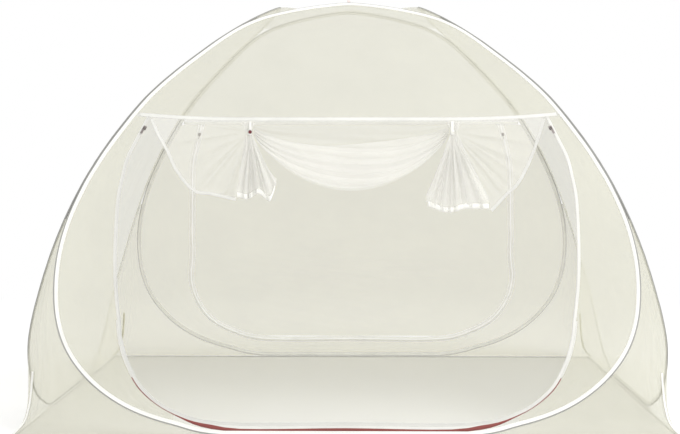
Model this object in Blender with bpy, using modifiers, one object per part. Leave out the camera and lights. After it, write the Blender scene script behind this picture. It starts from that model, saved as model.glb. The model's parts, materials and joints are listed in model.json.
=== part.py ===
"""Pop-up mosquito net tent: four spring-steel hoops in folded binding, sewn side by side along the
corner ridges, with net panels, a zipped door at the front that is gathered up and tied, a zipped
door at the back that is closed, a roof patch and a base sheet.

Metres, +Z up, origin in the middle of the base, front towards -Y.
"""

import math

import bmesh
import bpy
from mathutils import Vector

MM = 0.001

# Overall form
base_width = 2.0
base_depth = 1.8
hoop_height = 1.362
side_top_reach = 0.240
end_top_reach = 0.145
part_height = hoop_height * 0.5477
join_height = hoop_height * 0.9266
lean_shares = ((0.0, 1.0), (0.162, 0.977), (0.330, 0.904), (0.529, 0.774), (0.734, 0.553), (0.881, 0.287), (1.0, 0.0))
corner_round_shares = (1.98, 3.87)
crown_round_shares = (2.72, 1.5)
corner_steps = 11
ridge_step_shares = (0.125, 0.25, 0.5, 0.67, 0.84, 1.0)
crown_steps = 5

# Fabric and clearances
seat_gap = 0.3 * MM
net_thickness = 0.8 * MM
hem_thickness = 1.0 * MM
tape_thickness = 1.2 * MM
hem_width = 14 * MM
base_net_thickness = 1.0 * MM

# Hoop wire, its ferrule and the folded tape round it
wire_diameter = 3.0 * MM
ferrule_length = 36 * MM
ferrule_diameter = 5.0 * MM
ferrule_wall = 0.7 * MM
sleeve_bore = 5.6 * MM
sleeve_wall = 0.8 * MM
sleeve_leg = 11.0 * MM
sleeve_mouth = 2.1 * MM
net_grip = 6.5 * MM
hoop_spacing = 13.0 * MM

# Doors and zips
seam_height = hoop_height * 0.71
front_seam_sag = 20 * MM
seam_tape_width = 14 * MM
seam_flat_share = 0.5
zip_top_run = 75 * MM
zip_tape_width = 11 * MM
zip_chain_half = 2.4 * MM
zip_chain_thickness = 2.2 * MM
zip_tape_thickness = 0.8 * MM
front_zip_inset = 0.192
back_zip_inset = 0.225
front_inset_shares = ((0.0, 0.20), (0.03, 0.22), (0.055, 0.39), (0.09, 0.62), (0.14, 0.83), (0.20, 0.96), (0.27, 1.0), (0.33, 0.99), (0.40, 0.94), (0.47, 0.84), (0.55, 0.64), (0.64, 0.41), (0.71, 0.25))
back_inset_shares = ((0.0, 0.30), (0.03, 0.34), (0.08, 0.55), (0.18, 0.84), (0.33, 1.0), (0.47, 0.93), (0.60, 0.66), (0.71, 0.34))
band_thickness = 1.6 * MM
band_edge_width = 3.0 * MM
band_steps = 6

# Sliders and pulls
slider_length = 13 * MM
slider_width = 9.5 * MM
slider_plate = 1.1 * MM
slider_post = 1.2 * MM
ear_length = 5.2 * MM
ear_width = 1.6 * MM
ear_height = 5.0 * MM
eye_diameter = 2.6 * MM
eye_height = 2.9 * MM
pull_length = 26 * MM
pull_width = 7.0 * MM
pull_bar = 1.3 * MM
pull_window_end = 9 * MM
slider_from_seam = 26 * MM

# Gathered door
left_tie_across = -0.305
right_tie_across = 0.330
pinch_drop = 34 * MM
swag_drop = 0.185
left_tail_drop = 0.245
right_tail_drop = 0.280
tail_inner_reach = 0.080
left_tail_outer_reach = 0.045
right_tail_outer_reach = 0.120
cloth_thickness = 2.2 * MM
fold_depth = 16 * MM
swag_folds = 3
swag_set_back = 22 * MM
tail_slowing = 1.8
gather_power = 3
gather_share = 0.75
pinch_spread_share = 0.16
lead_share = 0.12
swell_share = 0.3
left_edge_shares = ((0.0, 0.0), (0.075, 0.18), (0.198, 0.41), (0.31, 0.65), (0.50, 0.88), (0.71, 0.924), (1.0, 1.0))
right_edge_shares = ((0.0, 0.0), (0.136, 0.253), (0.28, 0.468), (0.49, 0.697), (0.74, 0.838), (1.0, 1.0))
side_folds = 4
side_rows = 12
door_gap = 0.8 * MM
door_end_gap = 6 * MM
tie_clearance = 0.5 * MM
tie_band_height = 9 * MM
tie_band_thickness = 1.0 * MM
tie_strap_width = 8 * MM
button_diameter = 11 * MM
button_thickness = 3.5 * MM
knot_diameter = 13 * MM
free_tape_width = 10 * MM

# Small trim
corner_inset = 5 * MM
corner_tape_steps = 5
corner_tape_width = 9 * MM
corner_hollow_share = 0.22
corner_spans = 6
loop_height = 17 * MM
loop_width = 10 * MM
loop_depth = 9 * MM
loop_thickness = 1.0 * MM
roof_sag = 4 * MM
roof_settling_rounds = 60

wire_height = base_net_thickness + hem_thickness + 2 * seat_gap + (sleeve_bore / 2 + sleeve_wall) / math.cos(math.pi / 6)
pair_offset = hoop_spacing / 2 * math.sqrt(0.75)
outline_bottom = wire_height - pair_offset
sleeve_reach = sleeve_bore / 2 + sleeve_wall
lean_samples = 240
ridge_steps = len(ridge_step_shares)

white_net = ("net_white", (0.90, 0.90, 0.86, 1.0), 0.8, 0.0)
binding_white = ("binding_white", (0.93, 0.93, 0.90, 1.0), 0.7, 0.0)
spring_steel = ("spring_steel", (0.45, 0.46, 0.48, 1.0), 0.3, 1.0)
zip_white = ("zip_white", (0.90, 0.90, 0.88, 1.0), 0.5, 0.0)
rose_band = ("rose_band", (0.62, 0.26, 0.27, 1.0), 0.7, 0.0)
button_red = ("button_red", (0.35, 0.07, 0.08, 1.0), 0.4, 0.0)
zinc_alloy = ("zinc_alloy", (0.62, 0.62, 0.60, 1.0), 0.35, 1.0)


def clear_scene():
    for old in list(bpy.data.objects):
        bpy.data.objects.remove(old, do_unlink=True)


def new_collection(name):
    made = bpy.data.collections.new(name)
    bpy.context.scene.collection.children.link(made)
    return made


clear_scene()
parts = new_collection("mosquito_net_tent")
cutters = new_collection("cutters")


def finish_of(spec):
    name, colour, roughness, metallic = spec
    found = bpy.data.materials.get(name)
    if found:
        return found
    made = bpy.data.materials.new(name)
    made.use_nodes = True
    shader = made.node_tree.nodes["Principled BSDF"]
    shader.inputs["Base Color"].default_value = colour
    shader.inputs["Roughness"].default_value = roughness
    shader.inputs["Metallic"].default_value = metallic
    return made


def add_object(name, data, finish, collection=None):
    made = bpy.data.objects.new(name, data)
    (collection or parts).objects.link(made)
    if finish is not None:
        data.materials.append(finish_of(finish))
    return made


def mesh_object(name, rings, finish, closed=False, capped=False, around=True):
    """A loft through rings of the same number of points."""
    made = bmesh.new()
    rows = [[made.verts.new(point) for point in ring] for ring in rings]
    size = len(rows[0])
    last = len(rows) if closed else len(rows) - 1
    for i in range(last):
        a = rows[i]
        b = rows[(i + 1) % len(rows)]
        for k in range(size if around else size - 1):
            following = (k + 1) % size
            made.faces.new((a[k], a[following], b[following], b[k]))
    if capped:
        for row in (rows[0], rows[-1]):
            for k in range(size // 2 - 1):
                made.faces.new((row[k], row[k + 1], row[size - 2 - k], row[size - 1 - k]))
    bmesh.ops.remove_doubles(made, verts=made.verts, dist=0.01 * MM)
    bmesh.ops.recalc_face_normals(made, faces=made.faces)
    data = bpy.data.meshes.new(name)
    made.to_mesh(data)
    made.free()
    return add_object(name, data, finish)


def thicken(target, thickness):
    solid = target.modifiers.new("thickness", "SOLIDIFY")
    solid.thickness = thickness
    solid.offset = 0.0
    return target


def eased(shares, at):
    """Smooth monotone curve through a table of shares."""
    if at <= shares[0][0]:
        return shares[0][1]
    if at >= shares[-1][0]:
        return shares[-1][1]
    slopes = []
    for (x0, y0), (x1, y1) in zip(shares, shares[1:]):
        slopes.append((y1 - y0) / (x1 - x0))
    tangents = [slopes[0]]
    for before, after in zip(slopes, slopes[1:]):
        tangents.append(0.0 if before * after <= 0 else 2 * before * after / (before + after))
    tangents.append(slopes[-1])
    for i, (start, end) in enumerate(zip(shares, shares[1:])):
        if at <= end[0]:
            width = end[0] - start[0]
            t = (at - start[0]) / width
            rise = 3 * t * t - 2 * t ** 3
            lead = t ** 3 - 2 * t * t + t
            tail = t ** 3 - t * t
            return start[1] * (1 - rise) + end[1] * rise + width * (lead * tangents[i] + tail * tangents[i + 1])


def side_reach(height):
    share = eased(lean_shares, height / hoop_height)
    return side_top_reach + (base_width / 2 - side_top_reach) * share


def end_reach(height):
    share = eased(lean_shares, height / hoop_height)
    return end_top_reach + (base_depth / 2 - end_top_reach) * share


class Wall:
    """A panel's surface: level lines are straight, and its section is the dome's curve.

    A place on it is given as across and rise, the length along the curve from the base.
    """

    def __init__(self, outward, along, own_reach, other_reach):
        self.outward = Vector(outward)
        self.along = Vector(along)
        self.other_reach = other_reach
        self.heights = [hoop_height * k / lean_samples for k in range(lean_samples + 1)]
        self.leans = [own_reach(height) for height in self.heights]
        self.rises = [0.0]
        for k in range(lean_samples):
            step = math.hypot(self.heights[k + 1] - self.heights[k], self.leans[k + 1] - self.leans[k])
            self.rises.append(self.rises[-1] + step)

    def rise_at(self, height):
        share = height / hoop_height * lean_samples
        k = min(int(share), lean_samples - 1)
        return self.rises[k] + (self.rises[k + 1] - self.rises[k]) * (share - k)

    def section(self, rise):
        k = 0
        low, high = 0, lean_samples - 1
        while low <= high:
            middle = (low + high) // 2
            if self.rises[middle] <= rise:
                k = middle
                low = middle + 1
            else:
                high = middle - 1
        span = self.rises[k + 1] - self.rises[k]
        t = (rise - self.rises[k]) / span
        lean_step = self.leans[k + 1] - self.leans[k]
        height_step = self.heights[k + 1] - self.heights[k]
        lean = self.leans[k] + lean_step * t
        height = self.heights[k] + height_step * t
        return lean, height, lean_step / span, height_step / span

    def place(self, across, rise, out=0.0):
        lean, height, lean_rate, height_rate = self.section(rise)
        reach = lean + out * height_rate
        level = height - out * lean_rate
        return self.along * across + self.outward * reach + Vector((0, 0, level))

    def height_at(self, rise):
        return self.section(rise)[1]


front = Wall((0, -1, 0), (1, 0, 0), end_reach, side_reach)
back = Wall((0, 1, 0), (1, 0, 0), end_reach, side_reach)
left = Wall((-1, 0, 0), (0, 1, 0), side_reach, end_reach)
right = Wall((1, 0, 0), (0, 1, 0), side_reach, end_reach)
walls = {"front": front, "back": back, "left": left, "right": right}


def superellipse(step, count, powers):
    angle = math.pi / 2 * step / count
    return math.sin(angle) ** (2 / powers[1]), math.cos(angle) ** (2 / powers[0])


def half_outline(wall):
    """The hoop's outline from the middle of its bottom to the middle of its top."""
    points = []
    for step in range(corner_steps + 1):
        across_share, height_share = superellipse(step, corner_steps, corner_round_shares)
        height = outline_bottom + (part_height - outline_bottom) * (1 - height_share)
        if step <= 1:
            height = outline_bottom
        points.append((wall.other_reach(height) * across_share, height))
    for share in ridge_step_shares:
        height = part_height + (join_height - part_height) * share
        points.append((wall.other_reach(height), height))
    for step in range(1, crown_steps + 1):
        angle = math.pi / 2 * step / crown_steps
        height = join_height + (hoop_height - join_height) * math.sin(angle) ** (2 / crown_round_shares[0])
        across_share = max(math.cos(angle), 0.0) ** (2 / crown_round_shares[1])
        points.append((wall.other_reach(height) * across_share, height))
    points[0] = (0.0, points[0][1])
    points[-1] = (0.0, hoop_height)
    return [(across, wall.rise_at(height)) for across, height in points]


def shifted(points, distances, closed):
    """Points moved to the left of the path's direction, mitred at each corner."""
    count = len(points)
    moved = []
    for i, (x, y) in enumerate(points):
        sides = []
        for a, b in ((i - 1, i), (i, i + 1)):
            if not closed and (a < 0 or b >= count):
                continue
            start = points[a % count]
            end = points[b % count]
            length = math.hypot(end[0] - start[0], end[1] - start[1])
            sides.append((-(end[1] - start[1]) / length, (end[0] - start[0]) / length))
        if len(sides) == 1:
            sides.append(sides[0])
        dot = sides[0][0] * sides[1][0] + sides[0][1] * sides[1][1]
        distance = distances[i] if isinstance(distances, (list, tuple)) else distances
        scale = distance / (1 + dot)
        moved.append((x + (sides[0][0] + sides[1][0]) * scale, y + (sides[0][1] + sides[1][1]) * scale))
    return moved


def closed_loop(half):
    """A whole hoop from its half, anticlockwise from the middle of the bottom."""
    mirrored = [(-across, rise) for across, rise in reversed(half[1:-1])]
    return half + mirrored


def half_of(loop):
    return loop[: len(loop) // 2 + 1]


hoop_paths = {}
for wall_name, wall in walls.items():
    outline = closed_loop(half_outline(wall))
    hoop_paths[wall_name] = shifted(outline, pair_offset, True)


def swept(name, wall, path, profile, finish, closed):
    """A tape of one section laid along a path on a wall. Profile points are (inwards, outwards)."""
    inward_steps = sorted({u for u, _ in profile})
    shifts = {u: shifted(path, u, closed) for u in inward_steps}
    rings = []
    for i in range(len(path)):
        rings.append([wall.place(*shifts[u][i], out) for u, out in profile])
    return mesh_object(name, rings, finish, closed=closed, capped=not closed)


def hoop_sleeve(name, wall, path):
    """Folded tape: a round fold over the wire, and two legs that take the net's edge."""
    bore = sleeve_bore / 2
    outer = bore + sleeve_wall
    slant = math.tan(math.pi / 6)
    mouth = sleeve_mouth / 2
    bore_top = bore / math.cos(math.pi / 6)
    outer_top = outer / math.cos(math.pi / 6)
    profile = [
        (sleeve_leg, mouth + sleeve_wall),
        (outer, outer * slant),
        (0.0, outer_top),
        (-outer, outer * slant),
        (-outer, -outer * slant),
        (0.0, -outer_top),
        (outer, -outer * slant),
        (sleeve_leg, -mouth - sleeve_wall),
        (sleeve_leg, -mouth),
        (bore, -bore * slant),
        (0.0, -bore_top),
        (-bore, -bore * slant),
        (-bore, bore * slant),
        (0.0, bore_top),
        (bore, bore * slant),
        (sleeve_leg, mouth),
    ]
    return swept(name, wall, path, profile, binding_white, True)


def rod(name, points, diameter, finish, resolution=2):
    data = bpy.data.curves.new(name, "CURVE")
    data.dimensions = "3D"
    data.bevel_depth = diameter / 2
    data.bevel_resolution = resolution
    data.use_fill_caps = True
    spline = data.splines.new("POLY")
    spline.points.add(len(points) - 1)
    for target, point in zip(spline.points, points):
        target.co = (*point, 1.0)
    return add_object(name, data, finish)


def hoop_wire(name, wall, path):
    """One length of spring wire bent round, its ends meeting inside the ferrule."""
    bottom = wall.place(*path[0])
    end_step = wall.along * (seat_gap / 2)
    run_step = wall.along * ferrule_length
    points = [bottom + end_step, bottom + run_step]
    points += [wall.place(*place) for place in path[1:]]
    points += [bottom - run_step, bottom - end_step]
    rod(name, points, wire_diameter, spring_steel)


def turned(name, profile, centre, axis_turn, finish):
    """A profile of (radius, height) turned with Screw round the object's own Z."""
    data = bpy.data.meshes.new(name)
    points = [(radius, 0.0, height) for radius, height in profile]
    edges = [(k, (k + 1) % len(points)) for k in range(len(points))]
    data.from_pydata(points, edges, [])
    made = add_object(name, data, finish)
    made.location = centre
    made.rotation_euler = axis_turn
    screw = made.modifiers.new("turn", "SCREW")
    screw.steps = 12
    screw.render_steps = 12
    screw.use_merge_vertices = True
    screw.merge_threshold = 0.01 * MM
    return made


def hoop_ferrule(name, wall, path):
    outer = ferrule_diameter / 2
    inner = outer - ferrule_wall
    half = ferrule_length / 2
    profile = [(outer, half), (outer, -half), (inner, -half), (inner, half)]
    turn = (0, math.pi / 2, 0) if abs(wall.along.x) > 0.5 else (math.pi / 2, 0, 0)
    turned(name, profile, wall.place(*path[0]), turn, spring_steel)


def spot(wall, place):
    """A place's point; one that carries a third value is already a point on a straight stretch."""
    return wall.place(*place) if len(place) == 2 else place[2]


def membrane(name, wall, first_edge, second_edge, finish, thickness, spans=1):
    """A sheet between two edges that have the same number of points."""
    rings = []
    for start, end in zip(first_edge, second_edge):
        first, last = spot(wall, start), spot(wall, end)
        straight = len(start) > 2 or len(end) > 2
        ring = [first]
        for k in range(1, spans):
            t = k / spans
            place = (start[0] + (end[0] - start[0]) * t, start[1] + (end[1] - start[1]) * t)
            ring.append(first.lerp(last, t) if straight else wall.place(*place))
        ring.append(last)
        rings.append(ring)
    made = mesh_object(name, rings, finish, around=False)
    return thicken(made, thickness)


def on_stretch(wall, points, rise):
    """The place where a half outline passes a rise, on the straight line between its two corners."""
    for start, end in zip(points, points[1:]):
        if (start[1] - rise) * (end[1] - rise) <= 0 and start[1] != end[1]:
            t = (rise - start[1]) / (end[1] - start[1])
            across = start[0] + (end[0] - start[0]) * t
            return across, rise, wall.place(*start).lerp(wall.place(*end), t)
    raise ValueError("the outline doesn't reach that rise")


def mirrored_place(place):
    if len(place) == 2:
        return -place[0], place[1]
    return -place[0], place[1], place[2] * Vector((-1, 1, 1))


def seam_rise(wall, across, half_width, sag):
    flat = half_width * seam_flat_share
    beyond = max(0.0, abs(across) - flat) / (half_width - flat)
    return wall.rise_at(seam_height) - sag * (1 - beyond * beyond)


for wall_name, wall in walls.items():
    path = hoop_paths[wall_name]
    hoop_wire(f"{wall_name}_hoop_wire", wall, path)
    hoop_ferrule(f"{wall_name}_hoop_ferrule", wall, path)
    hoop_sleeve(f"{wall_name}_hoop_sleeve", wall, path)

for wall_name in ("left", "right"):
    wall = walls[wall_name]
    edge = half_of(shifted(hoop_paths[wall_name], net_grip, True))
    mirrored = [(-across, rise) for across, rise in edge]
    membrane(f"{wall_name}_wall_net", wall, edge, mirrored, white_net, net_thickness, 4)


def seam_points(wall, half_width, sag, offset, stations):
    return [(across, seam_rise(wall, across, half_width, sag) + offset) for across in stations]


def door_wall(wall_name, wall, sag, inset, inset_shares):
    """The seam, the upper net, the zip's line and the edges that the other pieces of the wall follow."""
    path = hoop_paths[wall_name]
    grip = half_of(shifted(path, net_grip, True))
    leg_end = half_of(shifted(path, sleeve_leg + seat_gap, True))
    seam_middle = wall.rise_at(seam_height)
    tape_half = on_stretch(wall, leg_end, seam_middle + seam_tape_width / 2)[0] - seat_gap
    net_bottom = seam_middle + seam_tape_width / 2 + seat_gap
    tops = [on_stretch(wall, grip, net_bottom)]
    tops += [place for place in grip if place[1] > net_bottom + seat_gap]
    half_width = tops[0][0]
    bottoms = [tops[0]]
    for top in tops[1:]:
        bottoms.append((top[0], seam_rise(wall, top[0], half_width, sag) + seam_tape_width / 2 + seat_gap))
    tops += [mirrored_place(place) for place in reversed(tops[:-1])]
    bottoms += [mirrored_place(place) for place in reversed(bottoms[:-1])]
    membrane(f"{wall_name}_upper_net", wall, bottoms, tops, white_net, net_thickness, 4)

    stations = sorted({-tape_half, tape_half}.union(top[0] for top in tops if abs(top[0]) < tape_half))
    lower = seam_points(wall, half_width, sag, -seam_tape_width / 2, stations)
    upper = seam_points(wall, half_width, sag, seam_tape_width / 2, stations)
    membrane(f"{wall_name}_door_seam_tape", wall, lower, upper, binding_white, tape_thickness)

    half = half_of(path)
    insets = []
    for _, rise in half:
        insets.append(inset * eased(inset_shares, wall.height_at(rise) / hoop_height))
    insets += list(reversed(insets[1:-1]))
    line = half_of(shifted(path, insets, True))
    seam_low = seam_middle - sag - seam_tape_width / 2 - seat_gap
    kept = [k for k, place in enumerate(line) if place[1] < seam_low - zip_top_run]
    last = kept[-1]
    return {"path": path, "grip": grip, "line": line, "last": last, "half_width": half_width, "sag": sag}


front_door = door_wall("front", front, front_seam_sag, front_zip_inset, front_inset_shares)
back_door = door_wall("back", back, 0.0, back_zip_inset, back_inset_shares)


def zip_line(wall, door):
    """The chain's line as an open U from the left end of the seam to the right one."""
    half = door["line"][: door["last"] + 1]
    before, after = door["line"][door["last"]], door["line"][door["last"] + 1]
    across = after[0]
    for _ in range(4):
        limit = seam_rise(wall, across, door["half_width"], door["sag"]) - seam_tape_width / 2 - seat_gap
        across = before[0] + (after[0] - before[0]) * (limit - before[1]) / (after[1] - before[1])
    half = half + [(across, limit)]
    mirrored = [(-x, rise) for x, rise in reversed(half[1:])]
    return mirrored + half


front_line = zip_line(front, front_door)
back_line = zip_line(back, back_door)


def cut_level(wall, points, door):
    """Brings the two ends of an edge to the seam's lower side."""
    trimmed = list(points)
    for end, inner in ((0, 1), (-1, -2)):
        a, b = trimmed[inner], trimmed[end]
        limit = seam_rise(wall, b[0], door["half_width"], door["sag"]) - seam_tape_width / 2 - seat_gap
        t = (limit - a[1]) / (b[1] - a[1])
        trimmed[end] = (a[0] + (b[0] - a[0]) * t, limit)
    return trimmed


def zip_edge(wall, door, line, inward):
    return cut_level(wall, shifted(line, inward, False), door)


def zip_half(name, wall, door, line, side, finish):
    """One half of a zip: a flat tape with a thick chain edge. Side is -1 outside the U, 1 inside."""
    chain = zip_chain_thickness / 2
    tape = zip_tape_thickness / 2
    near = side * (slider_post / 2 + seat_gap)
    bead = side * (slider_post / 2 + seat_gap + zip_chain_half)
    far = side * zip_tape_width
    profile = [(far, -tape), (bead, -tape), (near, -chain), (near, chain), (bead, tape), (far, tape)]
    shifts = {u: zip_edge(wall, door, line, u) for u in (far, bead, near)}
    rings = [[wall.place(*shifts[u][i], out) for u, out in profile] for i in range(len(line))]
    return mesh_object(name, rings, finish, capped=True)


zip_half("front_zip_fixed_tape", front, front_door, front_line, -1, zip_white)
zip_half("back_zip_surround_tape", back, back_door, back_line, -1, zip_white)
zip_half("back_zip_door_tape", back, back_door, back_line, 1, zip_white)


def grip_edge(wall, door, count):
    """The hoop's net edge with the same points as the zip's line, from left seam to right seam."""
    half = list(door["grip"][: door["last"] + 1])
    half.append(on_stretch(wall, door["grip"], door["seam_limit"]))
    mirrored = [mirrored_place(place) for place in reversed(half[1:])]
    whole = mirrored + half
    if len(whole) != count:
        raise ValueError("the two edges of the surround have unlike counts")
    return whole


for wall, door, line in ((front, front_door, front_line), (back, back_door, back_line)):
    door["seam_limit"] = wall.rise_at(seam_height) - seam_tape_width / 2 - seat_gap

back_outer = zip_edge(back, back_door, back_line, -zip_tape_width - seat_gap)
membrane("back_surround_net", back, grip_edge(back, back_door, len(back_line)), back_outer, white_net, net_thickness, 2)
back_inner = zip_edge(back, back_door, back_line, zip_tape_width + seat_gap)
middle = len(back_inner) // 2
back_right = back_inner[middle:]
back_left = list(reversed(back_inner[: middle + 1]))
membrane("back_door_net", back, back_left, back_right, white_net, net_thickness, 4)

front_outer = zip_edge(front, front_door, front_line, -zip_tape_width - seat_gap)
front_grip = grip_edge(front, front_door, len(front_line))
middle = len(front_line) // 2
leg_shift = shifted(front_door["path"], sleeve_leg + seat_gap, True)
leg_half = half_of(leg_shift)[: band_steps + 1]
leg_edge = [(-x, rise) for x, rise in reversed(leg_half[1:])] + leg_half
band_inner = front_outer[middle - band_steps : middle + band_steps + 1]
band_widths = []
for k in range(len(band_inner)):
    from_middle = abs(k - band_steps)
    gap = math.dist(band_inner[k], leg_edge[k])
    band_widths.append(gap if from_middle < 2 else min(gap, band_edge_width))
band_outer = shifted(band_inner, [-width for width in band_widths], False)
for k in range(len(band_inner)):
    if abs(k - band_steps) < 2:
        band_outer[k] = leg_edge[k]
membrane("front_threshold_band", front, band_outer, band_inner, rose_band, band_thickness)
band_clear = shifted(band_inner, [-width - seat_gap for width in band_widths], False)


def front_side(name, sign):
    """Net between the front hoop and the zip, from the seam down to where the two come together."""
    outer_edge = []
    inner_edge = []
    for k in range(2, band_steps + 1):
        outer_edge.append(front_grip[middle + k])
        inner_edge.append(band_clear[band_steps + k])
    for k in range(middle + band_steps + 1, len(front_line)):
        outer_edge.append(front_grip[k])
        inner_edge.append(front_outer[k])
    first = outer_edge if sign > 0 else [mirrored_place(place) for place in outer_edge]
    second = inner_edge if sign > 0 else [mirrored_place(place) for place in inner_edge]
    membrane(name, front, first, second, white_net, net_thickness, 2)


front_side("front_right_net", 1)
front_side("front_left_net", -1)


def hoop_outside(wall_name, step, sign):
    """A point beside the outer side of a hoop's tape."""
    path = shifted(hoop_paths[wall_name], -(sleeve_reach + seat_gap), True)
    across, rise = path[step]
    return walls[wall_name].place(sign * across, rise)


def corner_net(name, end_name, side_name, x_sign, y_sign):
    """Net from the front or back hoop round the base corner to the side hoop, drawn in a little."""
    rings = []
    base_level = base_net_thickness + hem_thickness + 2 * seat_gap + net_thickness / 2
    for step in range(1, corner_steps):
        start = hoop_outside(end_name, step, x_sign)
        end = hoop_outside(side_name, step, y_sign)
        height = (start.z + end.z) / 2
        if step == 1:
            start.z = base_level
            end.z = base_level
            height = base_level
        climb = (step - 1) / (corner_steps - 1)
        hollow = corner_hollow_share * math.sin(math.pi * climb)
        reach_x = side_reach(height) - corner_inset
        reach_y = end_reach(height) - corner_inset
        corner = Vector((x_sign * reach_x, y_sign * reach_y, height))
        corner = corner.lerp((start + end) / 2, hollow)
        weight = 1 + 40 * (1 - climb) ** 6
        ring = []
        for k in range(corner_spans + 1):
            t = k / corner_spans
            parts_of = ((1 - t) ** 2, 2 * weight * t * (1 - t), t * t)
            total = sum(parts_of)
            ring.append((start * parts_of[0] + corner * parts_of[1] + end * parts_of[2]) / total)
        if step == 1:
            ring[corner_spans // 2] = corner
        rings.append(ring)
    thicken(mesh_object(name, rings, white_net, around=False), net_thickness)
    return [ring[corner_spans // 2] for ring in rings[:corner_tape_steps]]


def corner_tape(name, edge, x_sign, y_sign):
    """Short webbing that stiffens the corner's edge where the base pulls on it."""
    diagonal = Vector((x_sign, y_sign, 0)).normalized()
    sideways = Vector((-y_sign, x_sign, 0)).normalized()
    rings = []
    for point in edge:
        centre = point + diagonal * (seat_gap + net_thickness)
        half = corner_tape_width / 2
        ring = []
        for along, out in ((-half, 0), (half, 0), (half, tape_thickness), (-half, tape_thickness)):
            ring.append(centre + sideways * along + diagonal * out)
        rings.append(ring)
    mesh_object(name, rings, binding_white, capped=True)


for end_name, y_sign in (("front", -1), ("back", 1)):
    for side_name, x_sign in (("left", -1), ("right", 1)):
        name = f"{end_name}_{side_name}_corner"
        edge = corner_net(f"{name}_net", end_name, side_name, x_sign, y_sign)
        corner_tape(f"{name}_tape", edge, x_sign, y_sign)


def crown_edge(wall_name):
    """The outer side of a hoop's top, from one ridge to the other, without the two ends."""
    path = shifted(hoop_paths[wall_name], -(sleeve_reach + seat_gap), True)
    first = corner_steps + ridge_steps + 2
    half = path[first : corner_steps + ridge_steps + crown_steps + 1]
    whole = half + [(-across, rise) for across, rise in reversed(half[:-1])]
    return [walls[wall_name].place(*place) for place in whole]


def roof_corner(end_name, side_name, x_sign, y_sign):
    step = corner_steps + ridge_steps + 1
    return (hoop_outside(end_name, step, x_sign) + hoop_outside(side_name, step, y_sign)) / 2


def roof_net():
    """A patch drawn between the four crowns, as a blend of its four edges."""
    corners = {}
    for end_name, y_sign in (("front", -1), ("back", 1)):
        for side_name, x_sign in (("left", -1), ("right", 1)):
            corners[end_name, side_name] = roof_corner(end_name, side_name, x_sign, y_sign)
    front_edge = [corners["front", "left"]] + list(reversed(crown_edge("front"))) + [corners["front", "right"]]
    back_edge = [corners["back", "left"]] + list(reversed(crown_edge("back"))) + [corners["back", "right"]]
    left_edge = [corners["front", "left"]] + list(reversed(crown_edge("left"))) + [corners["back", "left"]]
    right_edge = [corners["front", "right"]] + list(reversed(crown_edge("right"))) + [corners["back", "right"]]
    count = len(front_edge)
    rings = []
    for j in range(count):
        v = j / (count - 1)
        ring = []
        for i in range(count):
            u = i / (count - 1)
            across = front_edge[i].lerp(back_edge[i], v)
            along = left_edge[j].lerp(right_edge[j], u)
            near = corners["front", "left"].lerp(corners["front", "right"], u)
            far = corners["back", "left"].lerp(corners["back", "right"], u)
            ring.append(across + along - near.lerp(far, v))
        rings.append(ring)
    inside = range(1, count - 1)
    for _ in range(roof_settling_rounds):
        levels = {}
        for j in inside:
            for i in inside:
                beside = rings[j - 1][i].z + rings[j + 1][i].z + rings[j][i - 1].z + rings[j][i + 1].z
                levels[j, i] = beside / 4
        for (j, i), level in levels.items():
            rings[j][i].z = level
    for j in inside:
        for i in inside:
            u, v = i / (count - 1), j / (count - 1)
            rings[j][i].z -= roof_sag * 16 * u * (1 - u) * v * (1 - v)
    thicken(mesh_object("roof_net", rings, white_net, around=False), net_thickness)


roof_net()


def slab(name, corners, bottom, thickness, finish):
    """A flat outline extruded upwards from a level."""
    data = bpy.data.curves.new(name, "CURVE")
    data.dimensions = "2D"
    data.fill_mode = "BOTH"
    data.extrude = thickness / 2
    for outline in corners:
        spline = data.splines.new("POLY")
        spline.points.add(len(outline) - 1)
        for target, point in zip(spline.points, outline):
            target.co = (point[0], point[1], 0.0, 1.0)
        spline.use_cyclic_u = True
    made = add_object(name, data, finish)
    made.location = (0, 0, bottom + thickness / 2)
    return made


def rectangle(half_x, half_y):
    return [(-half_x, -half_y), (half_x, -half_y), (half_x, half_y), (-half_x, half_y)]


base_outline = rectangle(base_width / 2, base_depth / 2)
hem_inside = rectangle(base_width / 2 - hem_width, base_depth / 2 - hem_width)
slab("base_net", [base_outline], 0.0, base_net_thickness, white_net)
slab("base_hem", [base_outline, hem_inside], base_net_thickness + seat_gap, hem_thickness, binding_white)


def made_mesh(target):
    """The curve or modified object as a plain mesh object, its loose caps welded."""
    bpy.context.view_layer.update()
    evaluated = target.evaluated_get(bpy.context.evaluated_depsgraph_get())
    data = bpy.data.meshes.new_from_object(evaluated)
    welded = bmesh.new()
    welded.from_mesh(data)
    bmesh.ops.remove_doubles(welded, verts=welded.verts, dist=0.01 * MM)
    welded.to_mesh(data)
    welded.free()
    name = target.name
    matrix = target.matrix_world.copy()
    collection = target.users_collection[0]
    bpy.data.objects.remove(target, do_unlink=True)
    data.name = name
    made = bpy.data.objects.new(name, data)
    collection.objects.link(made)
    made.matrix_world = matrix
    return made


def block(name, size, centre, frame, finish, collection=None):
    """A box given in a local frame of three axes."""
    data = bpy.data.meshes.new(name)
    shape = bmesh.new()
    bmesh.ops.create_cube(shape, size=1.0)
    along, sideways, out = frame
    for vertex in shape.verts:
        local = vertex.co.copy()
        vertex.co = centre + along * (local.x * size[0]) + sideways * (local.y * size[1]) + out * (local.z * size[2])
    bmesh.ops.recalc_face_normals(shape, faces=shape.faces)
    shape.to_mesh(data)
    shape.free()
    return add_object(name, data, finish, collection)


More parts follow.
